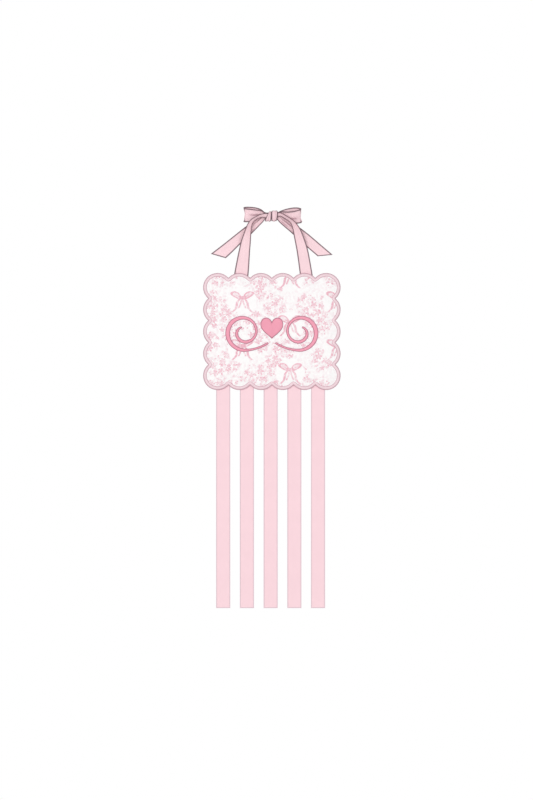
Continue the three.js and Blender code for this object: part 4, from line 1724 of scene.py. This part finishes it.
@dataclass(frozen=True)
class Embroidery:
    """A raised heart between two scrolls, in satin stitch with a darker outline, in millimetres."""

    middle_x: float = -2.7
    middle_z: float = -172.9
    heart_width: float = 34.0
    heart_height: float = 31.0
    heart_rise: float = 8.0
    heart_columns: int = 110
    heart_steps: int = 200
    heart_stitched_share: float = 0.985
    scroll_reach: float = 74.0
    scroll_start: float = 6.0
    scroll_radius: float = 28.0
    scroll_eye: float = 8.5
    scroll_lift: float = 11.0
    scroll_turns: float = 1.42
    scroll_tighten: float = 1.15
    scroll_rise: float = 1.5
    scroll_tail: float = 0.24
    scroll_columns: int = 520
    scroll_near_share: float = 0.004
    stroke: float = 6.2
    tip: float = 2.0
    height: float = 1.1
    least_height_share: float = 0.45
    stitch_ridge: float = 0.05
    stitch_valley: float = -0.03
    sunk: float = 0.5
    across: int = 12
    cord: float = 0.5
    cord_lift: float = 0.28
    cord_points: int = 8
    cord_spacing: float = 0.3
    cord_twist: float = 4.2
    cord_twist_share: float = 0.12
    cord_map_share: float = 0.6

    def scroll_point(self, share: float, side: Side) -> Pair:
        """The middle of a scroll's stroke, from under the heart out and round into its curl.

        Args:
            share: How far along the stroke, from 0 to 1.
            side: Which scroll it is.

        Returns:
            The place from the ornament's middle.
        """
        middle = self.scroll_reach - self.scroll_radius - self.stroke / 2
        if share < self.scroll_tail:
            along = share / self.scroll_tail
            x = self.scroll_start + (middle - self.scroll_start) * along
            z = self.scroll_rise - self.scroll_radius + self.scroll_lift * (1 - along) ** 2
            return side.sign * x, z
        turn = (share - self.scroll_tail) / (1 - self.scroll_tail)
        angle = math.tau * self.scroll_turns * turn - math.pi / 2
        tightened = (self.scroll_eye - self.scroll_radius) * turn ** self.scroll_tighten
        radius = self.scroll_radius + tightened
        return (side.sign * (middle + radius * math.cos(angle)),
                self.scroll_rise + radius * math.sin(angle))

    def stroke_width(self, share: float) -> float:
        """A stroke's width along it: thin at both ends, full as it rises and in the curl."""
        swell = math.sin(math.pi * share) * (0.62 - 0.38 * math.cos(2 * math.tau * (share - 0.12)))
        return self.tip + (self.stroke - self.tip) * swell

    def scroll_edges(self, side: Side) -> Edges:
        """Both edges of a scroll's stroke.

        Args:
            side: Which scroll it is.

        Returns:
            The edges' points, pair by pair.
        """
        left, right = [], []
        near = self.scroll_near_share
        for k in range(self.scroll_columns + 1):
            share = k / self.scroll_columns
            x, z = self.scroll_point(share, side)
            ax, az = self.scroll_point(max(0.0, share - near), side)
            bx, bz = self.scroll_point(min(1.0, share + near), side)
            half = self.stroke_width(share) / 2 / math.hypot(bx - ax, bz - az)
            left.append((x - half * (bz - az), z + half * (bx - ax)))
            right.append((x + half * (bz - az), z - half * (bx - ax)))
        return left, right

    def heart_side(self, *corners: Pair) -> list[Pair]:
        """One curve of the heart's right half.

        Args:
            corners: The four points that steer it, in shares of the heart's width and height.

        Returns:
            Its points, from the middle outwards.
        """
        points = []
        for k in range(self.heart_steps + 1):
            t = k / self.heart_steps
            pulls = ((1 - t) ** 3, 3 * t * (1 - t) ** 2, 3 * t * t * (1 - t), t**3)
            points.append((sum(s * x for s, (x, _) in zip(pulls, corners)) * self.heart_width,
                           sum(s * z for s, (_, z) in zip(pulls, corners)) * self.heart_height))
        return sorted(points)

    def heart_edges(self) -> Edges:
        """The heart's foot and top edges.

        Returns:
            The edges' points, column by column.
        """

        def at(points: list[Pair], x: float) -> float:
            """Reads a curve.

            Args:
                points: Its points, from the middle outwards.
                x: A place across.

            Returns:
                The curve's height there.
            """
            for (ax, az), (bx, bz) in zip(points, points[1:]):
                if ax <= x <= bx and bx > ax:
                    return az + (bz - az) * (x - ax) / (bx - ax)
            return points[-1][1]

        sides = (self.heart_side((0.0, -0.52), (0.12, -0.36), (0.5, -0.14), (0.5, 0.16)),
                 self.heart_side((0.5, 0.16), (0.5, 0.58), (0.08, 0.6), (0.0, 0.24)))
        edges = ([], [])
        half = self.heart_width / 2 * self.heart_stitched_share
        for k in range(self.heart_columns + 1):
            x = half * math.sin((2 * k / self.heart_columns - 1) * math.pi / 2)
            for edge, side in zip(edges, sides):
                edge.append((x, at(side, abs(x)) + self.heart_rise))
        return edges

    def laid(self, cloth: "Surface", x: float, z: float, lift: float) -> Vector:
        """A point of the ornament over the cloth, from its place beside the ornament's middle."""
        return cloth.over(x + self.middle_x, z + self.middle_z, lift)

    def satin(self, name: str, edges: Edges, cloth: "Surface", thread: bpy.types.Material
              ) -> bpy.types.Object:
        """A satin-stitched form between two edges, domed over the cloth.

        Args:
            name: The piece's name.
            edges: Both edges, pair by pair.
            cloth: What it is stitched on.
            thread: What it is made of.

        Returns:
            The new object.
        """
        over = [(j / self.across, True) for j in range(self.across + 1)]
        under = [(j / self.across, False) for j in range(self.across - 1, 0, -1)]
        widest = max(math.dist(a, b) for a, b in zip(*edges))
        draft = MeshDraft()
        length = 0.0
        for k, (a, b) in enumerate(zip(*edges)):
            if k:
                length += (math.dist(a, edges[0][k - 1]) + math.dist(b, edges[1][k - 1])) / 2
            width = math.dist(a, b)
            ridge = self.stitch_ridge if k % 2 else self.stitch_valley
            least = self.least_height_share
            full = self.height * (least + (1 - least) * min(1.0, width / widest)) + ridge
            points, places = [], []
            for u, outside in over + under:
                x, z = a[0] + (b[0] - a[0]) * u, a[1] + (b[1] - a[1]) * u
                points.append(self.laid(cloth, x, z, full * domed(u) if outside else -self.sunk))
                inset = max(0.0, self.stroke / 2 - min(u, 1 - u) * width)
                places.append((inset * MM, length * MM))
            draft.ring(points, places)
        draft.skin(len(edges[0]), len(over + under))
        draft.caps(len(edges[0]), len(over + under))
        return draft.made(name, thread, sharp=70)

    def outline_cord(self, name: str, edges: Edges, cloth: "Surface", thread: bpy.types.Material
                     ) -> bpy.types.Object:
        """A twisted thread couched down all round a form.

        Args:
            name: The piece's name.
            edges: The form's edges.
            cloth: What it is stitched on.
            thread: What it is made of.

        Returns:
            The new object.
        """
        path = [edges[0][0]]
        for point in edges[0][1:] + edges[1][::-1]:
            if math.dist(point, path[-1]) > self.cord_spacing:
                path.append(point)
        if math.dist(path[-1], path[0]) < self.cord_spacing:
            path.pop()
        draft = MeshDraft()
        length = 0.0
        for k, (x, z) in enumerate(path):
            (ax, az), (bx, bz) = path[k - 1], path[(k + 1) % len(path)]
            run = math.hypot(bx - ax, bz - az)
            nx, nz = -(bz - az) / run, (bx - ax) / run
            length += math.dist((x, z), (ax, az))
            points, places = [], []
            for j in range(self.cord_points):
                angle = math.tau * j / self.cord_points
                twist = math.sin(length * self.cord_twist + angle * 2)
                reach = self.cord * (1 + self.cord_twist_share * twist)
                offset, lift = reach * math.cos(angle), self.cord_lift + reach * math.sin(angle)
                points.append(self.laid(cloth, x + nx * offset, z + nz * offset, lift))
                places.append((offset * self.cord_map_share * MM, length * MM))
            draft.ring(points, places)
        draft.skin(len(path), self.cord_points, closed_rings=True)
        return draft.made(name, thread, sharp=80)

    def build(self, front: bpy.types.Object, fill: bpy.types.Material,
              line: bpy.types.Material) -> None:
        """Builds the heart and the scrolls on the panel's front.

        Args:
            front: The front.
            fill: The thread of the forms.
            line: The thread of their outlines.
        """
        cloth = Surface(front)
        forms = {f"scroll_{side.value}": self.scroll_edges(side) for side in Side}
        forms["heart"] = self.heart_edges()
        for node, edges in forms.items():
            form = self.satin(f"stitched_{node}", edges, cloth, fill)
            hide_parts(node)
            placed(form, "panel")
            cord = self.outline_cord(f"outline_{node}", edges, cloth, line)
            placed(cord, "panel")


class Surface:
    """The front's surface, to lay stitches on."""

    BEFORE = -100.0
    PLAIN = -6.0

    def __init__(self, piece: bpy.types.Object) -> None:
        """Readies a surface.

        Args:
            piece: The piece that has it, facing the room.
        """
        mesh = piece.data
        self.tree = BVHTree.FromPolygons([v.co for v in mesh.vertices],
                                         [p.vertices for p in mesh.polygons])

    def over(self, x: float, z: float, lift: float) -> Vector:
        """Finds a point over the surface.

        Args:
            x: Its place across in millimetres.
            z: Its place up.
            lift: Its height towards the room.

        Returns:
            The point in metres.
        """
        hit = self.tree.ray_cast(mm(x, self.BEFORE, z), Vector((0.0, 1.0, 0.0)))[0]
        y = self.PLAIN if hit is None else hit.y / MM
        return mm(x, y - lift, z)


# The studio


@dataclass(frozen=True)
class Lamp:
    """A soft square lamp: its place and size in metres, and its power in watts."""

    name: str
    place: tuple[float, float, float]
    size: float
    power: float

    def build(self, aim: Vector) -> None:
        """Builds the lamp.

        Args:
            aim: What it faces.
        """
        data = bpy.data.lights.new(self.name, "AREA")
        data.shape = "SQUARE"
        data.size = self.size
        data.energy = self.power
        lamp = bpy.data.objects.new(self.name, data)
        lamp.location = self.place
        lamp.rotation_euler = (aim - Vector(self.place)).to_track_quat("-Z", "Y").to_euler()
        bpy.context.scene.collection.objects.link(lamp)


@dataclass(frozen=True)
class Studio:
    """A pale floor, plain soft light on white, and a camera at the height of the holder's middle."""

    aim: Pair = (-0.0110, -0.2763)
    tall: float = 1.2384
    distance: float = 4.5
    sensor: float = 36.0
    floor_drop: float = -1.05
    floor_right: float = 1.6
    floor_front: float = -1.4
    floor_back: float = 0.7
    floor_colour: Colour = (236, 234, 232)
    light: float = 0.546
    lamp_aim: float = -0.25
    lamps: Sequence[Lamp] = (
        Lamp("key", (-1.3, -2.5, 0.55), 1.5, 29.6),
        Lamp("fill", (1.5, -2.4, -0.1), 1.8, 16.2),
        Lamp("behind", (0.6, 2.2, 0.6), 1.8, 30.0),
    )

    def camera(self) -> None:
        """A long lens that looks straight at the holder."""
        data = bpy.data.cameras.new("camera")
        data.sensor_width = self.sensor
        data.lens = self.distance * self.sensor / self.tall
        camera = bpy.data.objects.new("camera", data)
        camera.location = (self.aim[0], -self.distance, self.aim[1])
        camera.rotation_euler = (math.pi / 2, 0.0, 0.0)
        bpy.context.scene.collection.objects.link(camera)
        bpy.context.scene.camera = camera

    def floor(self) -> None:
        """A plain pale floor below the ribbons."""
        right, front, back = self.floor_right, self.floor_front, self.floor_back
        corners = ((-right, front), (right, front), (right, back), (-right, back))
        finish = Finish("pale_floor", self.floor_colour)
        draft = MeshDraft(faces=[(0, 1, 2, 3)])
        draft.ring([Vector((x, y, self.floor_drop)) for x, y in corners])
        draft.made("floor", finish.tree().finished(linear(finish.face), 0.9))

    def world(self) -> None:
        """White where it is seen or mirrored, and an even light on the holder."""
        world = bpy.data.worlds.new("plain_white")
        bpy.context.scene.world = world
        tree = Tree(world)
        path = tree.node("ShaderNodeLightPath", {}, {}).outputs
        camera, glossy, through = [Value(tree, path[f"Is {ray} Ray"])
                                   for ray in ("Camera", "Glossy", "Transmission")]
        lit, seen = [tree.node("ShaderNodeBackground", {}, {"Color": WHITE, "Strength": strength})
                     for strength in (self.light, 1.0)]
        share = camera.most(glossy).most(through)
        mix = tree.node("ShaderNodeMixShader", {}, {0: share, 1: lit.outputs[0],
                                                    2: seen.outputs[0]})
        tree.node("ShaderNodeOutputWorld", {}, {0: mix.outputs[0]})

    def build(self) -> None:
        """Sets up the camera, the floor and the light."""
        self.camera()
        self.floor()
        for lamp in self.lamps:
            lamp.build(Vector((0.0, 0.0, self.lamp_aim)))
        self.world()
        bpy.context.scene.view_settings.view_transform = "Standard"


def main() -> None:
    """Builds the holder's pieces in order."""
    logging.basicConfig(level=logging.INFO, format="%(name)s: %(message)s")
    Studio().build()
    # The fourth colour of each satin is its painted shade in folds and creases
    bow_satin = SatinRibbon("bow_satin", (250, 217, 223), (106, 82, 91), (172, 134, 146),
                            edge_width=2.0 * MM).made()
    streamer_satin = SatinRibbon("streamer_satin", (249, 215, 222), (220, 193, 202),
                                 (214, 180, 188), edge_width=1.6 * MM).made()
    printed = PrintedCotton("printed_cotton", (252, 251, 251), (245, 238, 239)).made()
    plain = PlainCotton("plain_cotton", (251, 245, 244), (238, 229, 229)).made()
    panel = PaddedPanel()
    half_edge = panel.edge_face()[1][-1] / 2
    # The second colour of each thread is its painted shade at the stitches' edges and in their gaps; the
    # edge band's middle line is painted shade along the panel's outer rim
    edge = StitchedThread("edge_thread", (246, 221, 227), (204, 163, 176),
                          half_width=half_edge * MM, edge_width=1.65 * MM,
                          middle_shade_line=3.5 * MM).made()
    fill = StitchedThread("embroidery_thread", (248, 166, 187), (222, 132, 156),
                          half_width=3.1 * MM, edge_width=0.4 * MM).made()
    line = StitchedThread("outline_thread", (180, 112, 134), (150, 88, 110),
                          half_width=0.5 * MM, edge_width=0.1 * MM).made()
    HangerBow().build(bow_satin)
    front = panel.build(printed, plain, edge, Board().made())
    Embroidery().build(front, fill, line)
    Streamers().build(streamer_satin)


if __name__ == "__main__":
    main()
